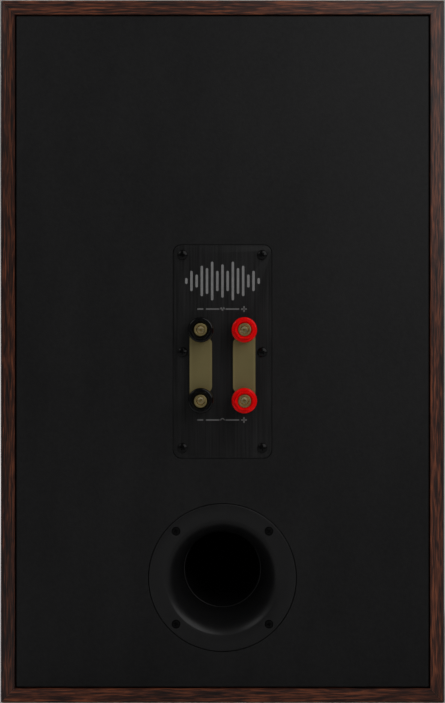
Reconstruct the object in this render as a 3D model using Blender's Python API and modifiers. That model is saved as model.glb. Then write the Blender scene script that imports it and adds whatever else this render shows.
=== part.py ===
"""A two-way bookshelf speaker: veneered cabinet, rear bass port and bi-wire binding posts.

Units are metres and +Z is up. The origin is the middle of the cabinet's bottom face. The front with the
drivers faces -Y, and the back with the port and the posts faces +Y. +X is to the right of someone who
looks at the front.
"""

import math

import bmesh
import bpy
from mathutils import Matrix, Vector

# Cabinet
CABINET_WIDTH = 0.240
CABINET_HEIGHT = 0.380
CABINET_DEPTH = 0.300
BOARD_THICKNESS = 0.015
RIM_WIDTH = 0.0075  # board left beside the panels, which sit in rebates
PANEL_GAP = 0.00065  # dark line between a panel and the rim
PANEL_RECESS = 0.0008  # how far both panels sit below the rim
PANEL_EDGE_RADIUS = 0.0015
BAFFLE_THICKNESS = 0.018
REAR_PANEL_THICKNESS = 0.015
BRACE_THICKNESS = 0.012
BRACE_Y = -0.039
WINDOW_WIDTH = 0.150  # the brace's two windows
WINDOW_HEIGHT = 0.145
WINDOW_STEP = 0.085  # from the cabinet's middle to a window's middle
WINDOW_RADIUS = 0.020
CLEARANCE = 0.0003  # between pieces that touch
FLANGE_EDGE = 0.0006  # chamfer round the port's and the drivers' flanges

# Rear bass port, on the cabinet's centre line
PORT_Z = 0.0675
PORT_FLANGE_RADIUS = 0.040
PORT_FLANGE_THICKNESS = 0.0027
PORT_MOUTH_RADIUS = 0.0313
PORT_THROAT_RADIUS = 0.02165
PORT_TUBE_RADIUS = 0.0213  # inside the tube, a small step in from the throat
PORT_FLARE_DEPTH = 0.031
PORT_LIP_RADIUS = 0.0102  # of the round lip between the flat flange and the flare
PORT_LIP_START = 22  # degrees that the lip slopes at the flange
PORT_LIP_END = 50
PORT_WALL = 0.00235
PORT_LENGTH = 0.150
PORT_SOCKET_DEPTH = 0.008  # of the flare that the tube's socket takes in
PORT_SOCKET_WALL = 0.0018
PORT_SHOULDER = 0.004  # solid end of the socket
PORT_HOLE_RADIUS = 0.0318
PORT_SCREW_CIRCLE = 0.0356

# Terminal plate, centred at half the cabinet's height
PLATE_Z = 0.190
PLATE_WIDTH = 0.0533
PLATE_HEIGHT = 0.1155
PLATE_CORNER_RADIUS = 0.0043
PLATE_THICKNESS = 0.0027
FLUSH_GAP = 0.0003  # around a piece that is let into a panel
PLATE_CUTOUT_WIDTH = 0.036
PLATE_CUTOUT_HEIGHT = 0.096
PLATE_SCREW_X = 0.0216
PLATE_SCREW_RISES = (0.0523, -0.0004, -0.0523)  # from the plate's middle

# Binding posts
POST_X = 0.0117
TREBLE_POST_Z = 0.2016
BASS_POST_Z = 0.1637
CORE_RADIUS = 0.0035
CORE_STUD_RADIUS = 0.0024
CORE_SHOULDER_RADIUS = 0.0060
CORE_SHOULDER_TOP = 0.0012
CORE_TOP = 0.0175
CORE_INNER_LENGTH = 0.020
SOCKET_RADIUS = 0.0021
SOCKET_DEPTH = 0.012
STRAP_BOTTOM = 0.0015
STRAP_THICKNESS = 0.0010
WASHER_BOTTOM = 0.0028
WASHER_THICKNESS = 0.0012
WASHER_RADIUS = 0.0069
KNOB_BOTTOM = 0.0043
KNOB_SKIRT_LENGTH = 0.0062
KNOB_TOP = 0.0183
KNOB_RADIUS = 0.0068
KNOB_SKIRT_EDGE = 0.0009
KNOB_HEX_RADIUS = 0.0056
KNOB_MOUTH_RADIUS = 0.0044
KNOB_MOUTH_DEPTH = 0.0012
RUNNING_CLEARANCE = 0.0001

# Jumper straps
STRAP_WIDTH = 0.0121
STRAP_SLOT_WIDTH = 0.0077
STRAP_CORNER_RADIUS = 0.0036
STRAP_HOOK_ANGLE = 120  # degrees that a hook's tip reaches round its post

# Woofer, on the centre line; heights run forwards from the baffle's face
WOOFER_Z = 0.125
WOOFER_FLANGE_RADIUS = 0.092
WOOFER_FLANGE_THICKNESS = 0.0047
WOOFER_CUTOUT_RADIUS = 0.082
WOOFER_SCREW_CIRCLE = 0.0868
BASKET_WINDOWS = 6
BASKET_WINDOW = (0.050, 0.021, 0.036)
BASKET_WINDOW_RADIUS = 0.078  # from the driver's axis to a window's middle
BASKET_WINDOW_DEPTH = 0.025
CONE_THICKNESS = 0.0012
CONE_EDGE_RADIUS = 0.0620
CONE_NECK_RADIUS = 0.0200
CONE_EDGE_HEIGHT = -0.0058
CONE_NECK_HEIGHT = -0.0300
COIL_INNER_RADIUS = 0.0186
COIL_OUTER_RADIUS = 0.0196
WOOFER_COIL = (COIL_INNER_RADIUS, COIL_OUTER_RADIUS, -0.0305, -0.0600)  # radii, top and bottom
WOOFER_TOP_PLATE = (0.0202, 0.0480, -0.0500, -0.0563)
WOOFER_MAGNET = (0.0300, 0.0500, -0.0566, -0.0716)
ROLL_RADIUS = 0.0055
ROLL_CENTRE_RADIUS = 0.0678
ROLL_BASE_HEIGHT = -0.0054
SURROUND_THICKNESS = 0.0007
SURROUND_LIP = (0.0765, 0.0791)  # where it is glued to the frame's ledge
CONE_CURVE = 1.15  # power of the cone's curve, 1 is straight
DUST_CAP_RADIUS = 0.0220
DUST_CAP_RISE = 0.0080
DUST_CAP_BASE = -0.0275
DUST_CAP_THICKNESS = 0.0008
SPIDER_OUTER_RADIUS = 0.0485
SPIDER_WAVE_RADIUS = 0.0420  # the waves end here
SPIDER_HEIGHT = -0.0408
SPIDER_WAVE = 0.0011
SPIDER_WAVES = 6
SPIDER_THICKNESS = 0.0007

WOOFER_LEDGE = -0.00605  # carries the surround's lip
# The frame's (radius, height) outline: the flange, the basket, the spider's seat, the ledge
WOOFER_FRAME = [
    (0.0803, 0),
    (WOOFER_FLANGE_RADIUS - FLANGE_EDGE, 0),
    (WOOFER_FLANGE_RADIUS, -FLANGE_EDGE),
    (WOOFER_FLANGE_RADIUS, -WOOFER_FLANGE_THICKNESS),
    (0.0810, -WOOFER_FLANGE_THICKNESS),
    (0.0810, -0.0095),
    (0.0510, -0.0460),
    (0.0510, -0.0497),
    (0.0220, -0.0497),
    (0.0220, -0.0467),
    (0.0430, -0.0467),
    (0.0430, -0.0415),
    (0.0490, -0.0415),
    (0.0775, -0.0105),
    (0.0736, -0.0090),
    (0.0736, WOOFER_LEDGE),
    (0.0795, WOOFER_LEDGE),
    (0.0795, -0.0008),
]
# The yoke's outline: the pole inside the coil, and the plate behind the magnet
WOOFER_YOKE = [
    (0, -0.0500),
    (0.0182, -0.0500),
    (0.0182, -0.0719),
    (0.0460, -0.0719),
    (0.0460, -0.0770),
    (0.0440, -0.0785),
    (0, -0.0785),
]

# Tweeter
TWEETER_Z = 0.286
TWEETER_FLANGE_RADIUS = 0.052
TWEETER_FLANGE_THICKNESS = 0.0050
TWEETER_CUTOUT_RADIUS = 0.038
TWEETER_SCREW_CIRCLE = 0.0450
DOME_RADIUS = 0.0130
DOME_HEIGHT = 0.0050
DOME_BASE = -0.0060
DOME_THICKNESS = 0.0006
DOME_COIL_BOTTOM = -0.0105
DOME_ROLL_RADIUS = 0.0015
DOME_LIP_RADIUS = 0.0174
# The faceplate's (radius, height) outline, with the shallow horn round the dome
TWEETER_PLATE = [
    (0.0340, 0),
    (TWEETER_FLANGE_RADIUS - FLANGE_EDGE, 0),
    (TWEETER_FLANGE_RADIUS, -FLANGE_EDGE),
    (TWEETER_FLANGE_RADIUS, -TWEETER_FLANGE_THICKNESS),
    (0.0173, -TWEETER_FLANGE_THICKNESS),
    (0.0173, -0.0036),
    (0.0205, -0.0023),
    (0.0260, -0.0009),
]
# The motor's outline: the pole, the coil's gap, the front plate and the magnet behind it
TWEETER_MOTOR = [
    (0, -0.0072),
    (0.0121, -0.0072),
    (0.0121, -0.0120),
    (0.0139, -0.0120),
    (0.0139, -0.0072),
    (0.0184, -0.0072),
    (0.0184, -0.0053),
    (0.0352, -0.0053),
    (0.0360, -0.0061),
    (0.0360, -0.0262),
    (0.0352, -0.0270),
    (0, -0.0270),
]

# Screws: head radius, head height, shank radius, shank length
PORT_SCREW = (0.00215, 0.0012, 0.0013, 0.0110)
PLATE_SCREW = (0.00265, 0.0012, 0.0015, 0.0120)
DRIVER_SCREW = (0.00350, 0.0022, 0.0019, 0.0130)
PILOT_FLOOR = 0.0005  # wood left under a screw's pilot hole

# Crossover, held off the rear panel's inner face
CROSSOVER_Z = 0.305
CROSSOVER_WIDTH = 0.110
CROSSOVER_HEIGHT = 0.080
CROSSOVER_THICKNESS = 0.0016
CROSSOVER_STANDOFF = 0.006
FOOT_RADIUS = 0.004
INDUCTOR = (0.008, 0.020, 0.022, 0)  # radii, top and bottom
INDUCTOR_X = -0.028
CAPACITOR_RADIUS = 0.009
CAPACITOR_LENGTH = 0.040
CAPACITOR_X = 0.004  # its left end
RESISTOR = (0.044, 0.009, 0.010)
RESISTOR_X = 0.026
PARTS_STEP = 0.020  # the capacitor above the board's middle, the resistor below it

# Damping foam, behind the brace
FOAM_START_Y = -0.025
FOAM_END_Y = 0.095
FOAM_SIDE_GAP = 0.006
FOAM_TOP_THICKNESS = 0.025
FOAM_BOTTOM_THICKNESS = 0.015

ROUND_STEPS = 24
FINE_STEPS = 32
SCREW_STEPS = 8
POST_STEPS = 16

BAFFLE_FACE_Y = -CABINET_DEPTH / 2 + PANEL_RECESS
REAR_FACE_Y = CABINET_DEPTH / 2 - PANEL_RECESS
REAR_INSIDE_Y = REAR_FACE_Y - REAR_PANEL_THICKNESS
BAFFLE_INSIDE_Y = BAFFLE_FACE_Y + BAFFLE_THICKNESS
PANEL_WIDTH = CABINET_WIDTH - 2 * (RIM_WIDTH + PANEL_GAP)
PANEL_HEIGHT = CABINET_HEIGHT - 2 * (RIM_WIDTH + PANEL_GAP)
INSIDE_WIDTH = CABINET_WIDTH - 2 * BOARD_THICKNESS
INSIDE_HEIGHT = CABINET_HEIGHT - 2 * BOARD_THICKNESS
FACING_FRONT = (math.pi / 2, 0, 0)  # local +Z points to the listener, -Y
FACING_BACK = (-math.pi / 2, 0, 0)  # local +Z points backwards, +Y

for old in list(bpy.data.objects):
    bpy.data.objects.remove(old, do_unlink=True)

speaker = bpy.data.collections.new("bookshelf_speaker")
cutters = bpy.data.collections.new("cutters")
bpy.context.scene.collection.children.link(speaker)
bpy.context.scene.collection.children.link(cutters)


def material(name, colour, roughness, metallic=0.0):
    """A plain Principled material, made once and then shared."""
    found = bpy.data.materials.get(name)
    if found:
        return found
    made = bpy.data.materials.new(name)
    made.use_nodes = True
    shader = made.node_tree.nodes["Principled BSDF"]
    shader.inputs["Base Color"].default_value = (*colour, 1.0)
    shader.inputs["Roughness"].default_value = roughness
    shader.inputs["Metallic"].default_value = metallic
    made.diffuse_color = (*colour, 1.0)
    return made


WALNUT = material("walnut_veneer", (0.045, 0.020, 0.013), 0.42)
VINYL = material("black_vinyl", (0.010, 0.010, 0.011), 0.55)
RAW_BOARD = material("raw_board", (0.32, 0.22, 0.13), 0.85)
PORT_PLASTIC = material("port_plastic", (0.012, 0.012, 0.013), 0.45)
PLATE_BLACK = material("terminal_plate_black", (0.012, 0.012, 0.012), 0.38, 0.6)
SCREW_BLACK = material("screw_black", (0.015, 0.015, 0.016), 0.35, 0.8)
GOLD = material("gold_plate", (0.62, 0.48, 0.20), 0.25, 1.0)
KNOB_BLACK = material("knob_black", (0.006, 0.006, 0.007), 0.15)
KNOB_RED = material("knob_red", (0.60, 0.004, 0.006), 0.15)
FRAME_BLACK = material("driver_frame_black", (0.018, 0.018, 0.019), 0.5)
CONE_BLACK = material("cone_black", (0.016, 0.016, 0.017), 0.6)
RUBBER = material("surround_rubber", (0.010, 0.010, 0.010), 0.7)
SPIDER_CLOTH = material("spider_cloth", (0.45, 0.30, 0.10), 0.9)
FERRITE = material("ferrite", (0.030, 0.030, 0.032), 0.7)
STEEL = material("motor_steel", (0.50, 0.50, 0.50), 0.35, 1.0)
COIL_METAL = material("coil_former", (0.75, 0.72, 0.68), 0.35, 1.0)
SILK = material("dome_silk", (0.014, 0.014, 0.016), 0.65)
FOAM = material("damping_foam", (0.10, 0.10, 0.11), 0.95)
CIRCUIT_BOARD = material("circuit_board", (0.020, 0.10, 0.035), 0.5)
COPPER = material("copper_winding", (0.60, 0.25, 0.12), 0.3, 1.0)
CAPACITOR_FILM = material("capacitor_film", (0.55, 0.42, 0.03), 0.3)
CERAMIC = material("ceramic", (0.62, 0.60, 0.55), 0.7)


def finish_part(part, slot, smooth=False):
    """Puts a part in the speaker's collection with its material and its shading."""
    part.data.materials.clear()
    part.data.materials.append(slot)
    speaker.objects.link(part)
    if smooth:
        part.data.shade_smooth()
        part.data.set_sharp_from_angle(angle=math.radians(35))
    return part


def as_cutter(shape):
    """Puts a shape among the cutters, drawn as wire and left out of renders."""
    cutters.objects.link(shape)
    shape.hide_render = True
    shape.display_type = "WIRE"
    return shape


def boolean(part, other, operation="DIFFERENCE"):
    """Cuts the other shape from the part, or joins it on."""
    step = part.modifiers.new(operation.lower(), "BOOLEAN")
    step.operation = operation
    step.solver = "EXACT"
    step.object = other


def box(name, size, centre):
    """A box of this size about its own centre."""
    mesh = bpy.data.meshes.new(name)
    shape = bmesh.new()
    bmesh.ops.create_cube(shape, size=1.0)
    bmesh.ops.scale(shape, vec=Vector(size), verts=shape.verts)
    shape.to_mesh(mesh)
    shape.free()
    made = bpy.data.objects.new(name, mesh)
    made.location = centre
    return made


def drill(name, places, radius, y_from, y_to, steps=SCREW_STEPS):
    """One cutter of round holes along Y, at each (x, z) place."""
    mesh = bpy.data.meshes.new(name)
    shape = bmesh.new()
    for x, z in places:
        middle = Matrix.Translation((x, (y_from + y_to) / 2, z))
        bmesh.ops.create_cone(
            shape,
            cap_ends=True,
            segments=steps,
            radius1=radius,
            radius2=radius,
            depth=abs(y_to - y_from),
            matrix=middle @ Matrix.Rotation(math.pi / 2, 4, "X"),
        )
    shape.to_mesh(mesh)
    shape.free()
    return as_cutter(bpy.data.objects.new(name, mesh))


def turned(name, profile, steps=ROUND_STEPS, closed=True):
    """A profile of (radius, height) points turned about local Z. It runs down its outer side."""
    mesh = bpy.data.meshes.new(name)
    points = [(radius, 0.0, height) for radius, height in profile]
    edges = [(k, k + 1) for k in range(len(points) - 1)]
    if closed:
        edges.append((len(points) - 1, 0))
    mesh.from_pydata(points, edges, [])
    made = bpy.data.objects.new(name, mesh)
    screw = made.modifiers.new("turn", "SCREW")
    screw.axis = "Z"
    screw.angle = 2 * math.pi
    screw.steps = steps
    screw.render_steps = steps
    screw.use_merge_vertices = True
    screw.merge_threshold = 0.00001
    screw.use_smooth_shade = True
    return made


def frozen_mesh(source):
    """The evaluated mesh of an object that is in no collection yet, with its doubled points welded."""
    bpy.context.scene.collection.objects.link(source)
    graph = bpy.context.evaluated_depsgraph_get()
    mesh = bpy.data.meshes.new_from_object(source.evaluated_get(graph))
    bpy.context.scene.collection.objects.unlink(source)
    shape = bmesh.new()
    shape.from_mesh(mesh)
    bmesh.ops.remove_doubles(shape, verts=shape.verts, dist=0.000001)
    shape.to_mesh(mesh)
    shape.free()
    return mesh


def take_mesh(blank):
    """Freezes an object's mesh and removes the object."""
    mesh = frozen_mesh(blank)
    bpy.data.objects.remove(blank)
    return mesh


def solid_outline(name, outlines, thickness):
    """A flat shape in the X-Z plane from closed outlines, the first one outside, as a mesh."""
    curve = bpy.data.curves.new(name, "CURVE")
    curve.dimensions = "2D"
    curve.fill_mode = "BOTH"
    curve.extrude = thickness / 2
    for outline in outlines:
        spline = curve.splines.new("POLY")
        spline.points.add(len(outline) - 1)
        for point, (x, z) in zip(spline.points, outline):
            point.co = (x, z, 0, 1)
        spline.use_cyclic_u = True
    mesh = take_mesh(bpy.data.objects.new(name + "_outline", curve))
    made = bpy.data.objects.new(name, mesh)
    made.rotation_euler = FACING_FRONT
    return made


def circle(x, z, radius, steps=12):
    """Points round a circle."""
    turns = [2 * math.pi * k / steps for k in range(steps)]
    return [(x + radius * math.cos(t), z + radius * math.sin(t)) for t in turns]


def rounded_rectangle(x, z, width, height, radius, steps=4):
    """Points round a rectangle with round corners, about (x, z)."""
    points = []
    for corner, (side, rise) in enumerate(((1, 1), (-1, 1), (-1, -1), (1, -1))):
        centre_x = x + side * (width / 2 - radius)
        centre_z = z + rise * (height / 2 - radius)
        for k in range(steps + 1):
            turn = math.pi / 2 * (corner + k / steps)
            points.append((centre_x + radius * math.cos(turn), centre_z + radius * math.sin(turn)))
    return points


def ring_places(z, radius, count=4):
    """Evenly spaced (x, z) places on a circle about the centre line, the first at half a step."""
    turns = [2 * math.pi * (k + 0.5) / count for k in range(count)]
    return [(radius * math.cos(t), z + radius * math.sin(t)) for t in turns]


def add_cabinet():
    """Four mitred boards with rebates for the panels, and a brace with two windows."""
    half = CABINET_WIDTH / 2
    inner = half - BOARD_THICKNESS
    top = CABINET_HEIGHT
    mitre = CLEARANCE / math.sqrt(2)
    board = BOARD_THICKNESS
    outlines = {
        "top_panel": [
            (-half + mitre, top),
            (-inner + mitre, top - board),
            (inner - mitre, top - board),
            (half - mitre, top),
        ],
        "bottom_panel": [
            (-half + mitre, 0),
            (half - mitre, 0),
            (inner - mitre, board),
            (-inner + mitre, board),
        ],
        "left_side_panel": [
            (-half, mitre),
            (-inner, board + mitre),
            (-inner, top - board - mitre),
            (-half, top - mitre),
        ],
        "right_side_panel": [
            (half, mitre),
            (half, top - mitre),
            (inner, top - board - mitre),
            (inner, board + mitre),
        ],
    }
    rebate_width = CABINET_WIDTH - 2 * RIM_WIDTH
    rebate_height = CABINET_HEIGHT - 2 * RIM_WIDTH
    front_depth = PANEL_RECESS + BAFFLE_THICKNESS + CLEARANCE
    rear_depth = PANEL_RECESS + REAR_PANEL_THICKNESS + CLEARANCE
    overshoot = 0.010
    rebates = []
    for name, depth, side in (("front_rebate", front_depth, -1), ("rear_rebate", rear_depth, 1)):
        middle_y = side * (CABINET_DEPTH / 2 - depth / 2 + overshoot / 2)
        size = (rebate_width, depth + overshoot, rebate_height)
        rebates.append(as_cutter(box(name, size, (0, middle_y, CABINET_HEIGHT / 2))))
    for name, outline in outlines.items():
        panel = finish_part(solid_outline(name, [outline], CABINET_DEPTH), WALNUT)
        for rebate in rebates:
            boolean(panel, rebate)

    brace_width = INSIDE_WIDTH - 2 * CLEARANCE
    brace_height = INSIDE_HEIGHT - 2 * CLEARANCE
    middle = CABINET_HEIGHT / 2
    windows = [
        rounded_rectangle(0, middle + side * WINDOW_STEP, WINDOW_WIDTH, WINDOW_HEIGHT, WINDOW_RADIUS)
        for side in (-1, 1)
    ]
    edge = rounded_rectangle(0, middle, brace_width, brace_height, 0.001, 1)
    brace = solid_outline("cabinet_brace", [edge, *windows], BRACE_THICKNESS)
    brace.location.y = BRACE_Y
    finish_part(brace, RAW_BOARD)


def add_panels():
    """The front baffle and the rear panel, cut for the drivers, the port and the terminal plate."""
    middle = CABINET_HEIGHT / 2
    baffle_y = (BAFFLE_FACE_Y + BAFFLE_INSIDE_Y) / 2
    baffle = box("front_baffle", (PANEL_WIDTH, BAFFLE_THICKNESS, PANEL_HEIGHT), (0, baffle_y, middle))
    rear_y = (REAR_FACE_Y + REAR_INSIDE_Y) / 2
    rear = box("rear_panel", (PANEL_WIDTH, REAR_PANEL_THICKNESS, PANEL_HEIGHT), (0, rear_y, middle))
    for panel in (baffle, rear):
        bevel = panel.modifiers.new("rounded_edges", "BEVEL")
        bevel.width = PANEL_EDGE_RADIUS
        bevel.segments = 2
        finish_part(panel, VINYL)

    past = 0.005
    front, inside = BAFFLE_FACE_Y - past, BAFFLE_INSIDE_Y + past
    drivers = (
        ("woofer", WOOFER_Z, WOOFER_CUTOUT_RADIUS, WOOFER_FLANGE_RADIUS, WOOFER_FLANGE_THICKNESS),
        ("tweeter", TWEETER_Z, TWEETER_CUTOUT_RADIUS, TWEETER_FLANGE_RADIUS, TWEETER_FLANGE_THICKNESS),
    )
    for name, z, cutout, flange, thickness in drivers:
        floor_y = BAFFLE_FACE_Y + thickness + CLEARANCE
        boolean(baffle, drill(name + "_cutout", [(0, z)], cutout, front, inside, FINE_STEPS))
        boolean(baffle, drill(name + "_recess", [(0, z)], flange + FLUSH_GAP, front, floor_y, FINE_STEPS))
    woofer_places = ring_places(WOOFER_Z, WOOFER_SCREW_CIRCLE)
    tweeter_places = ring_places(TWEETER_Z, TWEETER_SCREW_CIRCLE)
    pilot = DRIVER_SCREW[2] + CLEARANCE
    holes_end = BAFFLE_INSIDE_Y - PILOT_FLOOR
    boolean(baffle, drill("driver_pilot_holes", woofer_places + tweeter_places, pilot, front, holes_end))

    outside, back = REAR_FACE_Y + past, REAR_INSIDE_Y - past
    floor_y = REAR_FACE_Y - PORT_FLANGE_THICKNESS - CLEARANCE
    boolean(rear, drill("port_hole", [(0, PORT_Z)], PORT_HOLE_RADIUS, outside, back, ROUND_STEPS))
    recess_radius = PORT_FLANGE_RADIUS + FLUSH_GAP
    boolean(rear, drill("port_recess", [(0, PORT_Z)], recess_radius, outside, floor_y, FINE_STEPS))
    pocket_width = PLATE_WIDTH + 2 * FLUSH_GAP
    pocket_height = PLATE_HEIGHT + 2 * FLUSH_GAP
    pocket_depth = PLATE_THICKNESS + CLEARANCE
    pocket_edge = rounded_rectangle(
        0, PLATE_Z, pocket_width, pocket_height, PLATE_CORNER_RADIUS + FLUSH_GAP
    )
    pocket = solid_outline("plate_recess", [pocket_edge], pocket_depth + past)
    pocket.location.y = REAR_FACE_Y + (past - pocket_depth) / 2
    boolean(rear, as_cutter(pocket))
    cutout_size = (PLATE_CUTOUT_WIDTH, REAR_PANEL_THICKNESS + 2 * past, PLATE_CUTOUT_HEIGHT)
    boolean(rear, as_cutter(box("plate_cutout", cutout_size, (0, rear_y, PLATE_Z))))
    pilot = PORT_SCREW[2] + CLEARANCE
    places = ring_places(PORT_Z, PORT_SCREW_CIRCLE)
    boolean(rear, drill("port_pilot_holes", places, pilot, outside, REAR_INSIDE_Y + 3 * PILOT_FLOOR))
    pilot = PLATE_SCREW[2] + CLEARANCE
    holes_end = REAR_INSIDE_Y + PILOT_FLOOR
    boolean(rear, drill("plate_pilot_holes", plate_screw_places(), pilot, outside, holes_end))


def plate_screw_places():
    """Three (x, z) places down each side of the terminal plate."""
    return [(side * PLATE_SCREW_X, PLATE_Z + rise) for rise in PLATE_SCREW_RISES for side in (1, -1)]


def screw_mesh(name, sizes):
    """The mesh of a round-headed screw with a cross recess. Height 0 is the seat under its head."""
    head_radius, head_height, shank_radius, shank_length = sizes
    profile = [
        (0, head_height),
        (0.75 * head_radius, head_height),
        (head_radius, 0.4 * head_height),
        (head_radius, 0),
        (shank_radius, 0),
        (shank_radius, -shank_length),
        (0, -shank_length),
    ]
    blank = turned(name, profile, SCREW_STEPS, closed=False)
    long, short = 1.1 * head_radius, 0.22 * head_radius
    depth = 0.7 * head_height
    slots = [
        as_cutter(box(name + "_slot", (*across, 2 * depth), (0, 0, head_height)))
        for across in ((long, short), (short, long))
    ]
    for slot in slots:
        boolean(blank, slot)
    mesh = take_mesh(blank)
    for slot in slots:
        bpy.data.objects.remove(slot)
    return mesh


def add_screws(name, sizes, places, seat_y, facing):
    """One screw at each (x, z) place, its head's underside just off the seat."""
    mesh = screw_mesh(name, sizes)
    outwards = 1 if facing == FACING_BACK else -1
    for number, (x, z) in enumerate(places, start=1):
        screw = bpy.data.objects.new(f"{name}_{number}", mesh)
        screw.location = (x, seat_y + outwards * CLEARANCE, z)
        screw.rotation_euler = facing
        speaker.objects.link(screw)
    mesh.materials.clear()
    mesh.materials.append(SCREW_BLACK)
    mesh.shade_smooth()
    mesh.set_sharp_from_angle(angle=math.radians(35))


def flare_line(lip_steps=2, steps=5):
    """(radius, depth) points into the port: a round lip, then part of an ellipse to the throat."""
    start, end = math.radians(PORT_LIP_START), math.radians(PORT_LIP_END)
    line = []
    for k in range(lip_steps):
        turn = start + (end - start) * k / lip_steps
        inwards = PORT_LIP_RADIUS * (math.sin(turn) - math.sin(start))
        down = PORT_LIP_RADIUS * (math.cos(start) - math.cos(turn))
        line.append((PORT_MOUTH_RADIUS - inwards, down))
    inwards = PORT_LIP_RADIUS * (math.sin(end) - math.sin(start))
    lip_depth = PORT_LIP_RADIUS * (math.cos(start) - math.cos(end))
    narrowing = PORT_MOUTH_RADIUS - inwards - PORT_THROAT_RADIUS
    slope = math.tan(end) * narrowing / (PORT_FLARE_DEPTH - lip_depth)
    first = math.asin(slope / (1 - slope))
    wide = narrowing / (1 - math.sin(first))
    deep = (PORT_FLARE_DEPTH - lip_depth) / math.cos(first)
    for k in range(steps + 1):
        turn = first + (math.pi / 2 - first) * k / steps
        depth = lip_depth + deep * (math.cos(first) - math.cos(turn))
        line.append((PORT_THROAT_RADIUS + wide * (1 - math.sin(turn)), depth))
    return line


def radius_at(line, depth):
    """The radius at a depth on a line of (radius, depth) points."""
    for (upper, start), (lower, end) in zip(line, line[1:]):
        if depth <= end:
            return upper + (lower - upper) * (depth - start) / (end - start)
    return line[-1][0]


def add_port():
    """The flared flange, the tube that plugs onto it, and four screws in counterbores."""
    line = flare_line()
    bore = [(radius, -depth) for radius, depth in line]
    wall_start = PORT_FLANGE_THICKNESS
    outer = [(radius_at(line, wall_start) + PORT_WALL, -wall_start)]
    outer += [(radius + PORT_WALL, -depth) for radius, depth in line if depth > 2 * wall_start]
    rim = [
        (PORT_FLANGE_RADIUS - FLANGE_EDGE, 0),
        (PORT_FLANGE_RADIUS, -FLANGE_EDGE),
        (PORT_FLANGE_RADIUS, -PORT_FLANGE_THICKNESS),
    ]
    flange = turned("port_flange", [*rim, *outer, *reversed(bore)], FINE_STEPS)
    flange.location = (0, REAR_FACE_Y, PORT_Z)
    flange.rotation_euler = FACING_BACK
    finish_part(flange, PORT_PLASTIC)
    places = ring_places(PORT_Z, PORT_SCREW_CIRCLE)
    head_radius, head_height, shank_radius, _ = PORT_SCREW
    seat_y = REAR_FACE_Y - head_height - CLEARANCE
    through_y = REAR_FACE_Y - 2 * PORT_FLANGE_THICKNESS
    above_y = REAR_FACE_Y + 0.002
    boolean(flange, drill("port_screw_holes", places, shank_radius + CLEARANCE, through_y, above_y))
    boolean(flange, drill("port_screw_seats", places, head_radius + CLEARANCE, seat_y, above_y))
    add_screws("port_screw", PORT_SCREW, places, seat_y, FACING_BACK)

    spigot_radius = PORT_THROAT_RADIUS + PORT_WALL
    socket_top = -(PORT_FLARE_DEPTH - PORT_SOCKET_DEPTH)
    tube_top = -(PORT_FLARE_DEPTH + CLEARANCE)
    socket_inside = radius_at(line, PORT_FLARE_DEPTH - PORT_SOCKET_DEPTH) + PORT_WALL + CLEARANCE
    socket_outside = socket_inside + PORT_SOCKET_WALL
    shoulder = tube_top - PORT_SHOULDER
    profile = [
        (socket_outside, socket_top),
        (socket_outside, shoulder),
        (spigot_radius, shoulder - PORT_SHOULDER / 2),
        (spigot_radius, -PORT_LENGTH),
        (PORT_TUBE_RADIUS, -PORT_LENGTH),
        (PORT_TUBE_RADIUS, tube_top),
        (socket_inside, tube_top),
        (socket_inside, socket_top),
    ]
    tube = turned("port_tube", profile, FINE_STEPS)
    tube.location = (0, REAR_FACE_Y, PORT_Z)
    tube.rotation_euler = FACING_BACK
    finish_part(tube, PORT_PLASTIC)


def add_terminal_plate():
    """The flush plate with its holes, and its six screws."""
    screws = [circle(x, z, PLATE_SCREW[2] + CLEARANCE) for x, z in plate_screw_places()]
    studs = [
        circle(side * POST_X, z, CORE_STUD_RADIUS + CLEARANCE)
        for z in (TREBLE_POST_Z, BASS_POST_Z)
        for side in (1, -1)
    ]
    edge = rounded_rectangle(0, PLATE_Z, PLATE_WIDTH, PLATE_HEIGHT, PLATE_CORNER_RADIUS)
    plate = solid_outline("terminal_plate", [edge, *screws, *studs], PLATE_THICKNESS)
    plate.location.y = REAR_FACE_Y - PLATE_THICKNESS / 2
    finish_part(plate, PLATE_BLACK)
    add_screws("terminal_screw", PLATE_SCREW, plate_screw_places(), REAR_FACE_Y, FACING_BACK)


def post_core_mesh():
    """The fixed core: a shoulder on the plate, a stud through it, and a socket in its outer end."""
    chamfer = 0.0005
    profile = [
        (0, CORE_TOP - SOCKET_DEPTH),
        (SOCKET_RADIUS, CORE_TOP - SOCKET_DEPTH),
        (SOCKET_RADIUS, CORE_TOP - chamfer),
        (SOCKET_RADIUS + chamfer, CORE_TOP),
        (CORE_RADIUS - chamfer, CORE_TOP),
        (CORE_RADIUS, CORE_TOP - chamfer),
        (CORE_RADIUS, CORE_SHOULDER_TOP),
        (CORE_SHOULDER_RADIUS, CORE_SHOULDER_TOP),
        (CORE_SHOULDER_RADIUS, CLEARANCE),
        (CORE_STUD_RADIUS, CLEARANCE),
        (CORE_STUD_RADIUS, -CORE_INNER_LENGTH),
        (0, -CORE_INNER_LENGTH),
    ]
    return take_mesh(turned("post_core", profile, POST_STEPS, closed=False))


def post_washer_mesh():
    """The clamp washer that the knob presses on the strap."""
    top = WASHER_BOTTOM + WASHER_THICKNESS
    edge = 0.0002
    bore = CORE_RADIUS + RUNNING_CLEARANCE
    blank = turned(
        "post_washer",
        [
            (WASHER_RADIUS - edge, top),
            (WASHER_RADIUS, top - edge),
            (WASHER_RADIUS, WASHER_BOTTOM),
            (bore, WASHER_BOTTOM),
            (bore, top),
        ],
        POST_STEPS,
    )
    return take_mesh(blank)


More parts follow.
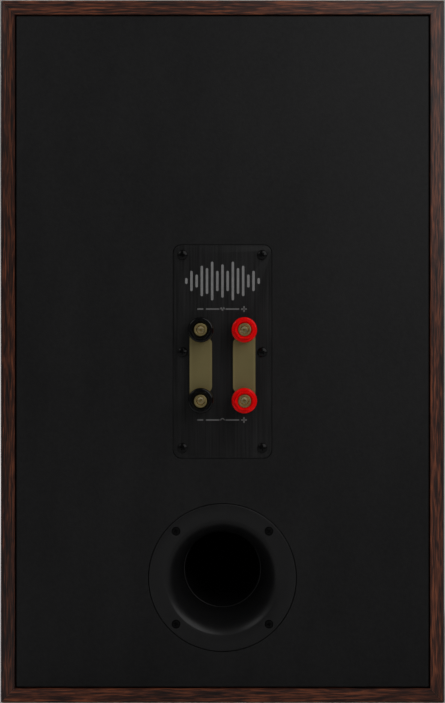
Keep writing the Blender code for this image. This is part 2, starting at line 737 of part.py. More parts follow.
def post_knob_mesh():
    """The screw knob: a round skirt and a six-sided front with a coned mouth, a corner of it upwards."""
    skirt_top = KNOB_BOTTOM + KNOB_SKIRT_LENGTH
    edge = 0.0006
    cut = 0.3 * KNOB_SKIRT_EDGE
    skirt = turned(
        "post_knob",
        [
            (0, skirt_top),
            (KNOB_RADIUS - KNOB_SKIRT_EDGE, skirt_top),
            (KNOB_RADIUS - cut, skirt_top - cut),
            (KNOB_RADIUS, skirt_top - KNOB_SKIRT_EDGE),
            (KNOB_RADIUS, KNOB_BOTTOM + edge / 2),
            (KNOB_RADIUS - edge / 2, KNOB_BOTTOM),
            (0, KNOB_BOTTOM),
        ],
        POST_STEPS,
        closed=False,
    )
    sunk = 0.0020
    hexagon = turned(
        "knob_hexagon",
        [
            (0, KNOB_TOP),
            (KNOB_HEX_RADIUS - edge, KNOB_TOP),
            (KNOB_HEX_RADIUS, KNOB_TOP - edge),
            (KNOB_HEX_RADIUS, skirt_top - sunk),
            (0, skirt_top - sunk),
        ],
        6,
        closed=False,
    )
    hexagon.rotation_euler.z = math.pi / 6
    past = 0.0010
    bore_radius = CORE_RADIUS + RUNNING_CLEARANCE
    bore = turned(
        "knob_bore",
        [
            (0, KNOB_TOP + past),
            (KNOB_MOUTH_RADIUS + past, KNOB_TOP + past),
            (bore_radius, KNOB_TOP - KNOB_MOUTH_DEPTH),
            (bore_radius, KNOB_BOTTOM - past),
            (0, KNOB_BOTTOM - past),
        ],
        POST_STEPS,
        closed=False,
    )
    boolean(skirt, as_cutter(hexagon), "UNION")
    boolean(skirt, as_cutter(bore))
    mesh = take_mesh(skirt)
    for used in (hexagon, bore):
        bpy.data.objects.remove(used)
    return mesh


def add_posts():
    """Four posts: a fixed core, and a washer that slides along it with the knob that turns on it."""
    core_mesh, washer_mesh, black_mesh = post_core_mesh(), post_washer_mesh(), post_knob_mesh()
    red_mesh = black_mesh.copy()
    meshes = ((core_mesh, GOLD), (washer_mesh, GOLD), (black_mesh, KNOB_BLACK), (red_mesh, KNOB_RED))
    for mesh, slot in meshes:
        mesh.materials.clear()
        mesh.materials.append(slot)
        mesh.shade_smooth()
        mesh.set_sharp_from_angle(angle=math.radians(35))
    posts = (
        ("treble_negative", POST_X, TREBLE_POST_Z, black_mesh),
        ("treble_positive", -POST_X, TREBLE_POST_Z, red_mesh),
        ("bass_negative", POST_X, BASS_POST_Z, black_mesh),
        ("bass_positive", -POST_X, BASS_POST_Z, red_mesh),
    )
    for place, x, z, knob_mesh in posts:
        axis = bpy.data.objects.new("axis_" + place, None)
        axis.location = (x, REAR_FACE_Y, z)
        axis.rotation_euler = FACING_BACK
        speaker.objects.link(axis)
        for kind, mesh in (("core", core_mesh), ("washer", washer_mesh), ("knob", knob_mesh)):
            piece = bpy.data.objects.new(f"post_{kind}_{place}", mesh)
            piece.parent = axis
            speaker.objects.link(piece)


def arc(centre_x, centre_z, radius, start, end, steps=7):
    """Points along an arc, from one angle to another in degrees."""
    turns = [math.radians(start + (end - start) * k / steps) for k in range(steps + 1)]
    return [(centre_x + radius * math.cos(t), centre_z + radius * math.sin(t)) for t in turns]


def strap_end():
    """Half of a strap's outline about its post, from the outer edge round the hook to the inner edge."""
    outer = STRAP_WIDTH / 2
    slot = STRAP_SLOT_WIDTH / 2
    corner = STRAP_CORNER_RADIUS
    tip = arc(0, 0, outer, 0, STRAP_HOOK_ANGLE)
    throat = arc(0, 0, slot, 90, -90)
    shoulder = arc(corner - outer, -slot - corner, corner, 90, 180, 5)
    return [*tip, (tip[-1][0], slot), *throat, *shoulder]


def add_straps():
    """Two flat straps, hooked round the cores from outside, each able to slide off outwards."""
    end = strap_end()
    span = TREBLE_POST_Z - BASS_POST_Z
    for name, side in (("jumper_strap_negative", 1), ("jumper_strap_positive", -1)):
        upper = [(side * u, span / 2 + v) for u, v in end]
        lower = [(side * u, -span / 2 - v) for u, v in reversed(end)]
        strap = solid_outline(name, [[*upper, *lower]], STRAP_THICKNESS)
        middle_y = REAR_FACE_Y + STRAP_BOTTOM + STRAP_THICKNESS / 2
        strap.location = (side * POST_X, middle_y, (TREBLE_POST_Z + BASS_POST_Z) / 2)
        finish_part(strap, GOLD)


def thick_sheet(line, thickness):
    """A closed profile round a line of (radius, height) points that runs outwards."""
    above, below = [], []
    for k, (radius, height) in enumerate(line):
        before, after = line[max(k - 1, 0)], line[min(k + 1, len(line) - 1)]
        along = Vector((after[0] - before[0], after[1] - before[1])).normalized()
        half = thickness / 2
        above.append((radius - along.y * half, height + along.x * half))
        below.append((radius + along.y * half, height - along.x * half))
    return [*above, *reversed(below)]


def dome_line(radius, rise, base, steps):
    """Points over a spherical cap, from the top of its axis to its edge."""
    sphere = (radius * radius + rise * rise) / (2 * rise)
    reach = math.asin(radius / sphere)
    turns = [reach * k / steps for k in range(steps + 1)]
    return [(sphere * math.sin(t), base + rise - sphere * (1 - math.cos(t))) for t in turns]


def add_driver_part(name, profile, slot, z, steps=ROUND_STEPS, closed=True):
    """A turned piece of a driver, with its origin on the driver's axis at the baffle's face."""
    piece = turned(name, profile, steps, closed)
    piece.location = (0, BAFFLE_FACE_Y, z)
    piece.rotation_euler = FACING_FRONT
    return finish_part(piece, slot)


def add_woofer():
    """Frame, motor, moving cone with its dust cap and coil, and the surround and spider that hold it."""
    frame = add_driver_part("woofer_frame", WOOFER_FRAME, FRAME_BLACK, WOOFER_Z, FINE_STEPS)
    for k in range(BASKET_WINDOWS):
        window = as_cutter(box(f"basket_window_{k + 1}", BASKET_WINDOW, (0, 0, 0)))
        turn = Matrix.Rotation(2 * math.pi * k / BASKET_WINDOWS, 4, "Y")
        place = Matrix.Translation((0, BAFFLE_FACE_Y + BASKET_WINDOW_DEPTH, WOOFER_Z))
        window.matrix_world = place @ turn @ Matrix.Translation((BASKET_WINDOW_RADIUS, 0, 0))
        boolean(frame, window)
    places = ring_places(WOOFER_Z, WOOFER_SCREW_CIRCLE)
    add_driver_screws("woofer_screw", frame, places)

    cone_steps = 5
    cone_line = []
    for k in range(cone_steps + 1):
        share = k / cone_steps
        radius = CONE_NECK_RADIUS + (CONE_EDGE_RADIUS - CONE_NECK_RADIUS) * share
        height = CONE_NECK_HEIGHT + (CONE_EDGE_HEIGHT - CONE_NECK_HEIGHT) * share**CONE_CURVE
        cone_line.append((radius, height))
    cone = thick_sheet(cone_line, CONE_THICKNESS)
    add_driver_part("woofer_cone", cone, CONE_BLACK, WOOFER_Z, FINE_STEPS)

    cap_line = dome_line(DUST_CAP_RADIUS, DUST_CAP_RISE, DUST_CAP_BASE, 4)
    cap = thick_sheet(cap_line, DUST_CAP_THICKNESS)
    add_driver_part("woofer_dust_cap", on_axis(cap), CONE_BLACK, WOOFER_Z, ROUND_STEPS, closed=False)

    roll = arc(ROLL_CENTRE_RADIUS, ROLL_BASE_HEIGHT, ROLL_RADIUS, 180, 0, 6)
    surround_line = [*roll, *((radius, ROLL_BASE_HEIGHT) for radius in SURROUND_LIP)]
    surround = thick_sheet(surround_line, SURROUND_THICKNESS)
    add_driver_part("woofer_surround", surround, RUBBER, WOOFER_Z, FINE_STEPS)

    inner = COIL_OUTER_RADIUS + CLEARANCE
    spider_line = [(inner, SPIDER_HEIGHT)]
    for k in range(1, SPIDER_WAVES):
        radius = inner + (SPIDER_WAVE_RADIUS - inner) * k / SPIDER_WAVES
        height = SPIDER_HEIGHT + (SPIDER_WAVE if k % 2 else -SPIDER_WAVE)
        spider_line.append((radius, height))
    spider_line += [(SPIDER_WAVE_RADIUS, SPIDER_HEIGHT), (SPIDER_OUTER_RADIUS, SPIDER_HEIGHT)]
    spider = thick_sheet(spider_line, SPIDER_THICKNESS)
    add_driver_part("woofer_spider", spider, SPIDER_CLOTH, WOOFER_Z)

    add_driver_part("woofer_voice_coil", ring(*WOOFER_COIL), COIL_METAL, WOOFER_Z)
    add_driver_part("woofer_top_plate", ring(*WOOFER_TOP_PLATE), STEEL, WOOFER_Z)
    add_driver_part("woofer_magnet", ring(*WOOFER_MAGNET), FERRITE, WOOFER_Z)
    add_driver_part("woofer_pole_piece", WOOFER_YOKE, STEEL, WOOFER_Z, closed=False)


def on_axis(profile):
    """A profile whose first and last points are moved onto the axis."""
    (_, first), *middle, (_, last) = profile
    return [(0, first), *middle, (0, last)]


def ring(inner, outer, top, bottom):
    """A plain ring's profile, its outer edges broken by half a millimetre."""
    edge = min(0.0005, (outer - inner) / 4)
    return [
        (inner, top),
        (outer - edge, top),
        (outer, top - edge),
        (outer, bottom + edge),
        (outer - edge, bottom),
        (inner, bottom),
    ]


def add_driver_screws(name, holder, places):
    """Cuts counterbored holes in a driver's flange and puts a screw in each."""
    head_radius, head_height, shank_radius, _ = DRIVER_SCREW
    seat_y = BAFFLE_FACE_Y + head_height + CLEARANCE
    above_y = BAFFLE_FACE_Y - 0.002
    through_y = BAFFLE_FACE_Y + 1.5 * TWEETER_FLANGE_THICKNESS
    boolean(holder, drill(name + "_holes", places, shank_radius + CLEARANCE, above_y, through_y))
    boolean(holder, drill(name + "_seats", places, head_radius + CLEARANCE, above_y, seat_y))
    add_screws(name, DRIVER_SCREW, places, seat_y, FACING_FRONT)


def add_tweeter():
    """A faceplate with a shallow horn, the soft dome with its coil, and the motor with its coil gap."""
    faceplate = add_driver_part("tweeter_faceplate", TWEETER_PLATE, FRAME_BLACK, TWEETER_Z, FINE_STEPS)
    places = ring_places(TWEETER_Z, TWEETER_SCREW_CIRCLE)
    add_driver_screws("tweeter_screw", faceplate, places)

    half = DOME_THICKNESS / 2
    roll_radius = DOME_ROLL_RADIUS
    roll_centre = DOME_RADIUS + half + roll_radius
    outside = dome_line(DOME_RADIUS + half, DOME_HEIGHT, DOME_BASE + half, 4)
    inside = dome_line(DOME_RADIUS - half, DOME_HEIGHT - half, DOME_BASE - half, 4)
    roll_outside = arc(roll_centre, DOME_BASE, roll_radius + half, 150, 30, 3)
    roll_inside = arc(roll_centre, DOME_BASE, roll_radius - half, 0, 180, 3)
    profile = [
        *outside[:-1],
        *roll_outside,
        (DOME_LIP_RADIUS, DOME_BASE + half),
        (DOME_LIP_RADIUS, DOME_BASE - half),
        (roll_inside[0][0], DOME_BASE - half),
        *roll_inside,
        (DOME_RADIUS + half, DOME_BASE - half),
        (DOME_RADIUS + half, DOME_COIL_BOTTOM),
        (DOME_RADIUS - half, DOME_COIL_BOTTOM),
        *reversed(inside),
    ]
    add_driver_part("tweeter_dome", profile, SILK, TWEETER_Z, ROUND_STEPS, closed=False)

    add_driver_part("tweeter_motor", TWEETER_MOTOR, FERRITE, TWEETER_Z, closed=False)


def add_crossover():
    """A circuit board on four feet inside the rear panel, with a coil, a capacitor and a resistor."""
    back_y = REAR_INSIDE_Y - CLEARANCE
    board_y = back_y - CROSSOVER_STANDOFF
    board_size = (CROSSOVER_WIDTH, CROSSOVER_THICKNESS, CROSSOVER_HEIGHT)
    board = box("crossover_board", board_size, (0, board_y - CROSSOVER_THICKNESS / 2, CROSSOVER_Z))
    finish_part(board, CIRCUIT_BOARD)
    foot_x = CROSSOVER_WIDTH / 2 - 2 * FOOT_RADIUS
    foot_z = CROSSOVER_HEIGHT / 2 - 2 * FOOT_RADIUS
    corners = [(side * foot_x, CROSSOVER_Z + rise * foot_z) for side in (1, -1) for rise in (1, -1)]
    feet = drill("board_feet", corners, FOOT_RADIUS, board_y - CROSSOVER_THICKNESS / 2, back_y)
    boolean(board, feet, "UNION")

    face_y = board_y - CROSSOVER_THICKNESS - CLEARANCE
    inductor = turned("crossover_inductor", ring(*INDUCTOR), FINE_STEPS)
    inductor.location = (INDUCTOR_X, face_y, CROSSOVER_Z)
    inductor.rotation_euler = FACING_FRONT
    finish_part(inductor, COPPER)

    edge = 0.001
    profile = [
        (0, CAPACITOR_LENGTH),
        (CAPACITOR_RADIUS - edge, CAPACITOR_LENGTH),
        (CAPACITOR_RADIUS, CAPACITOR_LENGTH - edge),
        (CAPACITOR_RADIUS, edge),
        (CAPACITOR_RADIUS - edge, 0),
        (0, 0),
    ]
    capacitor = turned("crossover_capacitor", profile, ROUND_STEPS, closed=False)
    capacitor.location = (CAPACITOR_X, face_y - CAPACITOR_RADIUS, CROSSOVER_Z + PARTS_STEP)
    capacitor.rotation_euler = (0, math.pi / 2, 0)
    finish_part(capacitor, CAPACITOR_FILM)

    resistor_place = (RESISTOR_X, face_y - RESISTOR[1] / 2, CROSSOVER_Z - PARTS_STEP)
    finish_part(box("crossover_resistor", RESISTOR, resistor_place), CERAMIC)


def add_damping():
    """Foam pads on the inside of the top and bottom boards, behind the brace."""
    floor_z = BOARD_THICKNESS + CLEARANCE
    ceiling_z = CABINET_HEIGHT - floor_z
    pads = (
        ("damping_foam_top", FOAM_TOP_THICKNESS, ceiling_z - FOAM_TOP_THICKNESS / 2),
        ("damping_foam_bottom", FOAM_BOTTOM_THICKNESS, floor_z + FOAM_BOTTOM_THICKNESS / 2),
    )
    middle_y = (FOAM_START_Y + FOAM_END_Y) / 2
    for name, thickness, z in pads:
        size = (INSIDE_WIDTH - 2 * FOAM_SIDE_GAP, FOAM_END_Y - FOAM_START_Y, thickness)
        finish_part(box(name, size, (0, middle_y, z)), FOAM)


add_cabinet()
add_panels()
add_port()
add_terminal_plate()
add_posts()
add_straps()
add_woofer()
add_tweeter()
add_crossover()
add_damping()
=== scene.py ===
import math

import bmesh
import bpy
from mathutils import Matrix, Vector


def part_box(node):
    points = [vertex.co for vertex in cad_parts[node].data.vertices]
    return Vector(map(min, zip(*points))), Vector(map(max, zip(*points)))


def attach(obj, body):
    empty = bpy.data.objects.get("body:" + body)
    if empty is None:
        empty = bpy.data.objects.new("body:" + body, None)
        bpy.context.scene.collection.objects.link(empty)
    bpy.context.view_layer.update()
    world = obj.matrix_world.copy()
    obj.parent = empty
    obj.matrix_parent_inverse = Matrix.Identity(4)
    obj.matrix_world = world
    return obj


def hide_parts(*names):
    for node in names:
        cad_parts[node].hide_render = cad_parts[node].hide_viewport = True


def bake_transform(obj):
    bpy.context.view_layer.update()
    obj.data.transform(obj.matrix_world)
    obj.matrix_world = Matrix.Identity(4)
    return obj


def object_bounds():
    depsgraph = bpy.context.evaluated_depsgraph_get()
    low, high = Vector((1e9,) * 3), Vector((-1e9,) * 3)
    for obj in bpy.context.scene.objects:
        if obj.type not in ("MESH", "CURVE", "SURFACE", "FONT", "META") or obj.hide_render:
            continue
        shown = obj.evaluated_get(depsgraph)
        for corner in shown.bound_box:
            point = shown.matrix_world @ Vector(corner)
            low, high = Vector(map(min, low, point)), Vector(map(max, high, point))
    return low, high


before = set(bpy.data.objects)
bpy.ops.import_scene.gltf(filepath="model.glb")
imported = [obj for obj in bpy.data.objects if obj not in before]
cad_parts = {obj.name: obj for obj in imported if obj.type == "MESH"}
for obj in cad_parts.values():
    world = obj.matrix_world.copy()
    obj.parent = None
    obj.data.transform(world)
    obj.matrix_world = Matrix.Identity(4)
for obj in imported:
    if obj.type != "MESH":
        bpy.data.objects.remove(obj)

# The visual model of the bookshelf speaker, in metres. +Y is the speaker's back, with the port and the posts.
CAD_LOW, CAD_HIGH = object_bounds()


def middle(node):
    """The centre of a CAD node's box."""
    low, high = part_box(node)
    return (low + high) / 2


RIM_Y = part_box("top_panel")[1].y
REAR_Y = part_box("rear_panel")[1].y
FRONT_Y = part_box("front_baffle")[0].y
PORT = middle("port_flange")
PLATE_LOW, PLATE_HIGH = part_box("terminal_plate")
PLATE = middle("terminal_plate")
WOOFER = middle("woofer_frame")
TWEETER = middle("tweeter_faceplate")
PLACES = ("treble_negative", "treble_positive", "bass_negative", "bass_positive")
POSTS = {place: middle("post_core_" + place) for place in PLACES}
POST_X = abs(POSTS["bass_negative"].x)
CLEARANCE = 0.0003
PORT_SCREW_CIRCLE = 0.0356
WOOFER_SCREW_CIRCLE = 0.0868
TWEETER_SCREW_CIRCLE = 0.0450
SCREW_SEAT = 0.0015  # how deep the flange's counterbores are

looks = bpy.data.collections.new("speaker_looks")
bpy.context.scene.collection.children.link(looks)

# ---------------------------------------------------------------- camera, light and stage

CAMERA_DISTANCE = 0.75  # from the plane of the cabinet's rear rim
CAMERA_PLACE = Vector((0, RIM_Y + CAMERA_DISTANCE, (CAD_LOW.z + CAD_HIGH.z) / 2))
SENSOR = 36.0
FRAME_HEIGHT = 0.3804  # what the picture takes in at the plane of the rim
SKY = 0.13
FLOOR_HALF = 2.5
WALL_BEND = 0.5
WALL_Y = -1.4  # where the floor starts to curve up
WALL_HEIGHT = 2.2
FLOOR_DROP = 0.0002
LIGHTS = (  # name, place, target, size, watts
    ("key_light", (-0.50, 0.86, 0.68), (0, 0.15, 0.22), 0.80, 3.8),
    ("left_light", (0.55, 0.72, 0.72), (0, 0.15, 0.2), 0.40, 0.85),
    ("fill_light", (1.3, 1.2, 0.3), (0, 0.1, 0.2), 1.2, 0.5),
    ("front_light", (0.8, -1.2, 1.1), (0, -0.1, 0.2), 1.0, 14),
)


def aim(thing, target):
    """Turns a light or a camera towards a point."""
    way = Vector(target) - thing.location
    thing.rotation_euler = way.to_track_quat("-Z", "Y").to_euler()


def add_camera():
    """A camera square to the speaker's back, far enough away for a flat perspective."""
    data = bpy.data.cameras.new("camera")
    data.sensor_fit = "VERTICAL"
    data.sensor_height = SENSOR
    data.lens = SENSOR * CAMERA_DISTANCE / FRAME_HEIGHT
    data.clip_start = 0.01
    camera = bpy.data.objects.new("camera", data)
    camera.location = CAMERA_PLACE
    bpy.context.scene.collection.objects.link(camera)
    aim(camera, (0, 0, CAMERA_PLACE.z))
    bpy.context.scene.camera = camera


def add_softbox(name, place, target, size, power):
    """A square area light."""
    data = bpy.data.lights.new(name, "AREA")
    data.shape = "RECTANGLE"
    data.size = data.size_y = size
    data.energy = power
    light = bpy.data.objects.new(name, data)
    light.location = place
    bpy.context.scene.collection.objects.link(light)
    aim(light, target)


def add_stage():
    """A pale floor that curves up into a backdrop on the far side, and an even sky."""
    world = bpy.data.worlds.new("studio")
    world.use_nodes = True
    sky = world.node_tree.nodes["Background"]
    sky.inputs["Color"].default_value = (1.0, 1.0, 1.0, 1.0)
    sky.inputs["Strength"].default_value = SKY
    bpy.context.scene.world = world
    bpy.context.scene.view_settings.view_transform = "Standard"

    shape = bmesh.new()
    steps = 12
    line = [(FLOOR_HALF, 0.0)]
    for k in range(steps + 1):
        turn = math.pi / 2 * k / steps
        line.append((WALL_Y - WALL_BEND * math.sin(turn), WALL_BEND * (1 - math.cos(turn))))
    line.append((WALL_Y - WALL_BEND, WALL_HEIGHT))
    rows = [[shape.verts.new((x, y, z - FLOOR_DROP)) for x in (-FLOOR_HALF, FLOOR_HALF)] for y, z in line]
    for (a, b), (c, d) in zip(rows, rows[1:]):
        shape.faces.new((a, b, d, c))
    mesh = bpy.data.meshes.new("studio_floor")
    shape.to_mesh(mesh)
    shape.free()
    mesh.shade_smooth()
    floor = bpy.data.objects.new("studio_floor", mesh)
    bpy.context.scene.collection.objects.link(floor)
    floor.data.materials.append(look("studio_floor", grey(0.78), grey(0.84), 30, (0.6, 0.7), 0.02))


# ---------------------------------------------------------------- materials


METAL = {"Metallic": 1.0}


def dull(level):
    """A weaker specular reflection than the shader's own."""
    return {"Specular IOR Level": level}


def grey(level, blue=0.0):
    """A neutral colour, or one with a little more blue."""
    return (level, level, level + blue)


class Tree:
    """Short names for the nodes of one material."""

    def __init__(self, name, extra):
        self.material = bpy.data.materials.new("look_" + name)
        self.material.use_nodes = True
        self.nodes = self.material.node_tree.nodes
        self.links = self.material.node_tree.links
        self.shader = self.nodes["Principled BSDF"]
        for socket, value in extra.items():
            self.shader.inputs[socket].default_value = value
        self.place = self.nodes.new("ShaderNodeTexCoord").outputs["Object"]

    def link(self, source, target):
        if isinstance(source, bpy.types.NodeSocket):
            self.links.new(source, target)
        else:
            target.default_value = source

    def stretched(self, scale, offset=(0, 0, 0)):
        """The place in metres times a number for each axis."""
        node = self.nodes.new("ShaderNodeMapping")
        node.inputs["Scale"].default_value = scale
        node.inputs["Location"].default_value = offset
        self.links.new(self.place, node.inputs["Vector"])
        return node.outputs["Vector"]

    def noise(self, vector, detail=4.0, roughness=0.55, distortion=0.0):
        node = self.nodes.new("ShaderNodeTexNoise")
        node.inputs["Scale"].default_value = 1.0
        node.inputs["Detail"].default_value = detail
        node.inputs["Roughness"].default_value = roughness
        node.inputs["Distortion"].default_value = distortion
        self.links.new(vector, node.inputs["Vector"])
        return node.outputs["Fac"]

    def cells(self, vector):
        node = self.nodes.new("ShaderNodeTexVoronoi")
        node.inputs["Scale"].default_value = 1.0
        self.links.new(vector, node.inputs["Vector"])
        return node.outputs["Distance"]

    def ramp(self, source, stops):
        """Colours (r, g, b) at places from 0 to 1."""
        node = self.nodes.new("ShaderNodeValToRGB")
        line = node.color_ramp.elements
        while len(line) < len(stops):
            line.new(0.5)
        for element, (place, colour) in zip(line, stops):
            element.position = place
            element.color = (*colour, 1.0)
        self.links.new(source, node.inputs["Fac"])
        return node.outputs["Color"]

    def fit(self, source, low, high, start=0.0, end=1.0):
        """Numbers from low to high brought to between start and end."""
        node = self.nodes.new("ShaderNodeMapRange")
        for socket, value in (("From Min", low), ("From Max", high), ("To Min", start), ("To Max", end)):
            node.inputs[socket].default_value = value
        self.links.new(source, node.inputs["Value"])
        return node.outputs["Result"]

    def math(self, operation, first, second=0.0):
        node = self.nodes.new("ShaderNodeMath")
        node.operation = operation
        self.link(first, node.inputs[0])
        self.link(second, node.inputs[1])
        return node.outputs[0]

    def total(self, *parts):
        """The sum of (number, weight) pairs."""
        whole = None
        for source, weight in parts:
            part = self.math("MULTIPLY", source, weight)
            whole = part if whole is None else self.math("ADD", whole, part)
        return whole

    def mix(self, share, first, second):
        """Two colours mixed. FIRST and SECOND are the colour sockets' numbers on the node."""
        FIRST, SECOND, RESULT = 6, 7, 2
        node = self.nodes.new("ShaderNodeMix")
        node.data_type = "RGBA"
        self.link(share, node.inputs[0])
        for socket, colour in ((FIRST, first), (SECOND, second)):
            plain = not isinstance(colour, bpy.types.NodeSocket)
            self.link((*colour, 1.0) if plain else colour, node.inputs[socket])
        return node.outputs[RESULT]

    def axes(self):
        """The place's three numbers."""
        node = self.nodes.new("ShaderNodeSeparateXYZ")
        self.links.new(self.place, node.inputs["Vector"])
        return node.outputs

    def bump(self, height, strength, distance=0.0002):
        node = self.nodes.new("ShaderNodeBump")
        node.inputs["Strength"].default_value = strength
        node.inputs["Distance"].default_value = distance
        self.links.new(height, node.inputs["Height"])
        self.links.new(node.outputs["Normal"], self.shader.inputs["Normal"])

    def finish(self, colour, roughness):
        self.links.new(colour, self.shader.inputs["Base Color"])
        self.links.new(roughness, self.shader.inputs["Roughness"])
        return self.material


def look(name, dark, light, grain, roughness, bump, extra={}, detail=4.0):
    """A mottled material. grain is how many grains fit in a metre, one number or one for each axis."""
    tree = Tree(name, extra)
    scale = grain if isinstance(grain, tuple) else (grain, grain, grain)
    fine = tree.noise(tree.stretched(scale), detail)
    broad = tree.noise(tree.stretched([number / 9 + 6 for number in scale]), 2.0)
    both = tree.total((fine, 0.6), (broad, 0.4))
    colour = tree.ramp(both, ((0.32, dark), (0.68, light)))
    tree.bump(fine, bump)
    return tree.finish(colour, tree.fit(both, 0.3, 0.7, *roughness))


def walnut(name, along, depth, painted_edge_shade=False):
    """Dark walnut veneer under satin lacquer, its grain along one axis. depth scales how light it is: the two
    side boards get a lighter and a darker copy as painted light and shade.
    """
    tree = Tree("walnut_" + name, {"Specular IOR Level": 0.16, "Coat Weight": 0.34, "Coat Roughness": 0.30})

    def stretched(long, across):
        """Grain that is long one way: so many streaks in a metre along it, and so many across it."""
        return tree.stretched((long, across, across) if along == "X" else (across, across, long))

    streak = tree.noise(stretched(75, 1100), 4.0, 0.55, 0.5)
    fine = tree.noise(stretched(240, 3200), 3.0, 0.6)
    band = tree.noise(stretched(9, 200), 3.0, 0.5, 0.4)
    grain = tree.total((streak, 0.62), (fine, 0.12), (band, 0.26))
    stops = (
        (0.40, (0.0080, 0.0031, 0.0023)),
        (0.46, (0.0280, 0.0088, 0.0054)),
        (0.51, (0.0640, 0.0182, 0.0090)),
        (0.56, (0.1240, 0.0350, 0.0155)),
        (0.62, (0.2100, 0.0590, 0.0240)),
    )
    colour = tree.ramp(grain, [(place, tuple(depth * part for part in shade)) for place, shade in stops])
    # Painted shade: the rounded edge where a side board's outer face meets its rim is darkened, fully within
    # 0.4 mm of the corner and fading out by 1.3 mm.
    if painted_edge_shade:
        x, y, _ = tree.axes()
        to_side = tree.math("SUBTRACT", CAD_HIGH.x, tree.math("ABSOLUTE", x))
        to_face = tree.math("SUBTRACT", RIM_Y, tree.math("ABSOLUTE", y))
        squares = tree.math("ADD", tree.math("POWER", to_side, 2.0), tree.math("POWER", to_face, 2.0))
        reach = tree.math("SQRT", squares)
        colour = tree.mix(tree.fit(reach, 0.0004, 0.0013, 1.0, 0.0), colour, (0.010, 0.0012, 0.0008))
    tree.bump(tree.total((fine, 0.6), (streak, 0.4)), 0.25, 0.00012)
    return tree.finish(colour, tree.fit(grain, 0.3, 0.7, 0.50, 0.36))


def vinyl():
    """Black vinyl foil with a very fine pressed grain."""
    tree = Tree("black_vinyl", dull(0.16))
    pebble = tree.noise(tree.stretched((900, 900, 900)), 3.0, 0.6)
    haze = tree.noise(tree.stretched((40, 40, 14)), 4.0)
    grit = tree.noise(tree.stretched((620, 620, 620)), 3.0)
    both = tree.total((haze, 0.5), (grit, 0.5))
    colour = tree.ramp(both, ((0.35, grey(0.0066, 0.0003)), (0.65, grey(0.0120, 0.0002))))
    tree.bump(pebble, 0.35, 0.00015)
    return tree.finish(colour, tree.fit(haze, 0.3, 0.7, 0.50, 0.58))


def terminal_plate():
    """Black brushed plate: fine straight scratches along Z."""
    tree = Tree("terminal_plate", dull(0.2))
    scratch = tree.noise(tree.stretched((1700, 1700, 24)), 3.0, 0.7)
    haze = tree.noise(tree.stretched((60, 60, 25)), 3.0)
    both = tree.total((scratch, 0.7), (haze, 0.3))
    colour = tree.ramp(both, ((0.34, grey(0.0007, 0.0001)), (0.66, grey(0.0140, 0.0003))))
    tree.bump(scratch, 0.12, 0.00006)
    return tree.finish(colour, tree.fit(both, 0.3, 0.7, 0.36, 0.50))


def strap_gold():
    """Gold-plated strip with a painted highlight: a lighter band along both long edges."""
    tree = Tree("strap_gold", METAL)
    scratch = tree.noise(tree.stretched((900, 900, 60)), 3.0)
    haze = tree.noise(tree.stretched((110, 110, 60)), 4.0)
    face = tree.ramp(haze, ((0.3, (0.219, 0.183, 0.084)), (0.7, (0.241, 0.202, 0.093))))
    # Painted highlight: from 0.6 mm inside each long edge the gold turns lighter, as if the edges caught the
    # light.
    x, _, _ = tree.axes()
    off_axis = tree.math("ABSOLUTE", tree.math("SUBTRACT", tree.math("ABSOLUTE", x), POST_X))
    colour = tree.mix(tree.fit(off_axis, 0.0046, 0.0052, 0.0, 1.0), face, (0.262, 0.218, 0.102))
    tree.bump(scratch, 0.08, 0.00005)
    return tree.finish(colour, tree.fit(haze, 0.3, 0.7, 0.44, 0.52))


def core_gold():
    """Gold plate: satin on the face of a post, polished inside its socket, where it is also painted much
    lighter as a painted reflection.
    """
    tree = Tree("core_gold", METAL)
    x, _, z = tree.axes()
    level = (POSTS["treble_negative"].z + POSTS["bass_negative"].z) / 2
    spread = POSTS["treble_negative"].z - level
    off_x = tree.math("SUBTRACT", tree.math("ABSOLUTE", x), POST_X)
    off_z = tree.math("SUBTRACT", tree.math("ABSOLUTE", tree.math("SUBTRACT", z, level)), spread)
    squares = tree.math("ADD", tree.math("POWER", off_x, 2.0), tree.math("POWER", off_z, 2.0))
    outside = tree.fit(tree.math("SQRT", squares), 0.0022, 0.0026)
    haze = tree.noise(tree.stretched((900, 900, 900)), 3.0)
    face = tree.ramp(haze, ((0.3, (0.27, 0.214, 0.094)), (0.7, (0.34, 0.272, 0.122))))
    # Painted reflection: inside the socket the gold is much lighter than on the face, standing for light
    # bouncing round the socket's walls; the lower roughness there is its polish.
    colour = tree.mix(outside, (0.70, 0.60, 0.36), face)
    tree.bump(haze, 0.04, 0.00005)
    roughness = tree.math("ADD", tree.fit(haze, 0.3, 0.7, 0.18, 0.24), tree.math("MULTIPLY", outside, 0.16))
    return tree.finish(colour, roughness)


def woven(name, dark, light, threads, roughness, bump, sheen):
    """Plain-woven cloth: two sets of threads that cross in X and Z."""
    tree = Tree(name, {"Sheen Weight": sheen})
    x, _, z = tree.axes()
    warp = tree.math("SINE", tree.math("MULTIPLY", x, threads))
    weft = tree.math("SINE", tree.math("MULTIPLY", z, threads))
    weave = tree.fit(tree.math("MULTIPLY", warp, weft), -1.0, 1.0)
    slub = tree.noise(tree.stretched((700, 700, 700)), 3.0)
    colour = tree.ramp(tree.total((weave, 0.6), (slub, 0.4)), ((0.2, dark), (0.8, light)))
    tree.bump(weave, bump, 0.0001)
    return tree.finish(colour, tree.fit(slub, 0.3, 0.7, *roughness))


def wound(name, dark, light, turns, roughness):
    """Fine wire wound round the Y axis through the piece, seen as close lines along Y."""
    tree = Tree(name, METAL)
    _, y, _ = tree.axes()
    wire = tree.fit(tree.math("SINE", tree.math("MULTIPLY", y, turns)), -1.0, 1.0)
    haze = tree.noise(tree.stretched((300, 300, 300)), 3.0)
    colour = tree.ramp(tree.total((wire, 0.7), (haze, 0.3)), ((0.15, dark), (0.85, light)))
    tree.bump(wire, 0.5, 0.0002)
    return tree.finish(colour, tree.fit(haze, 0.3, 0.7, *roughness))


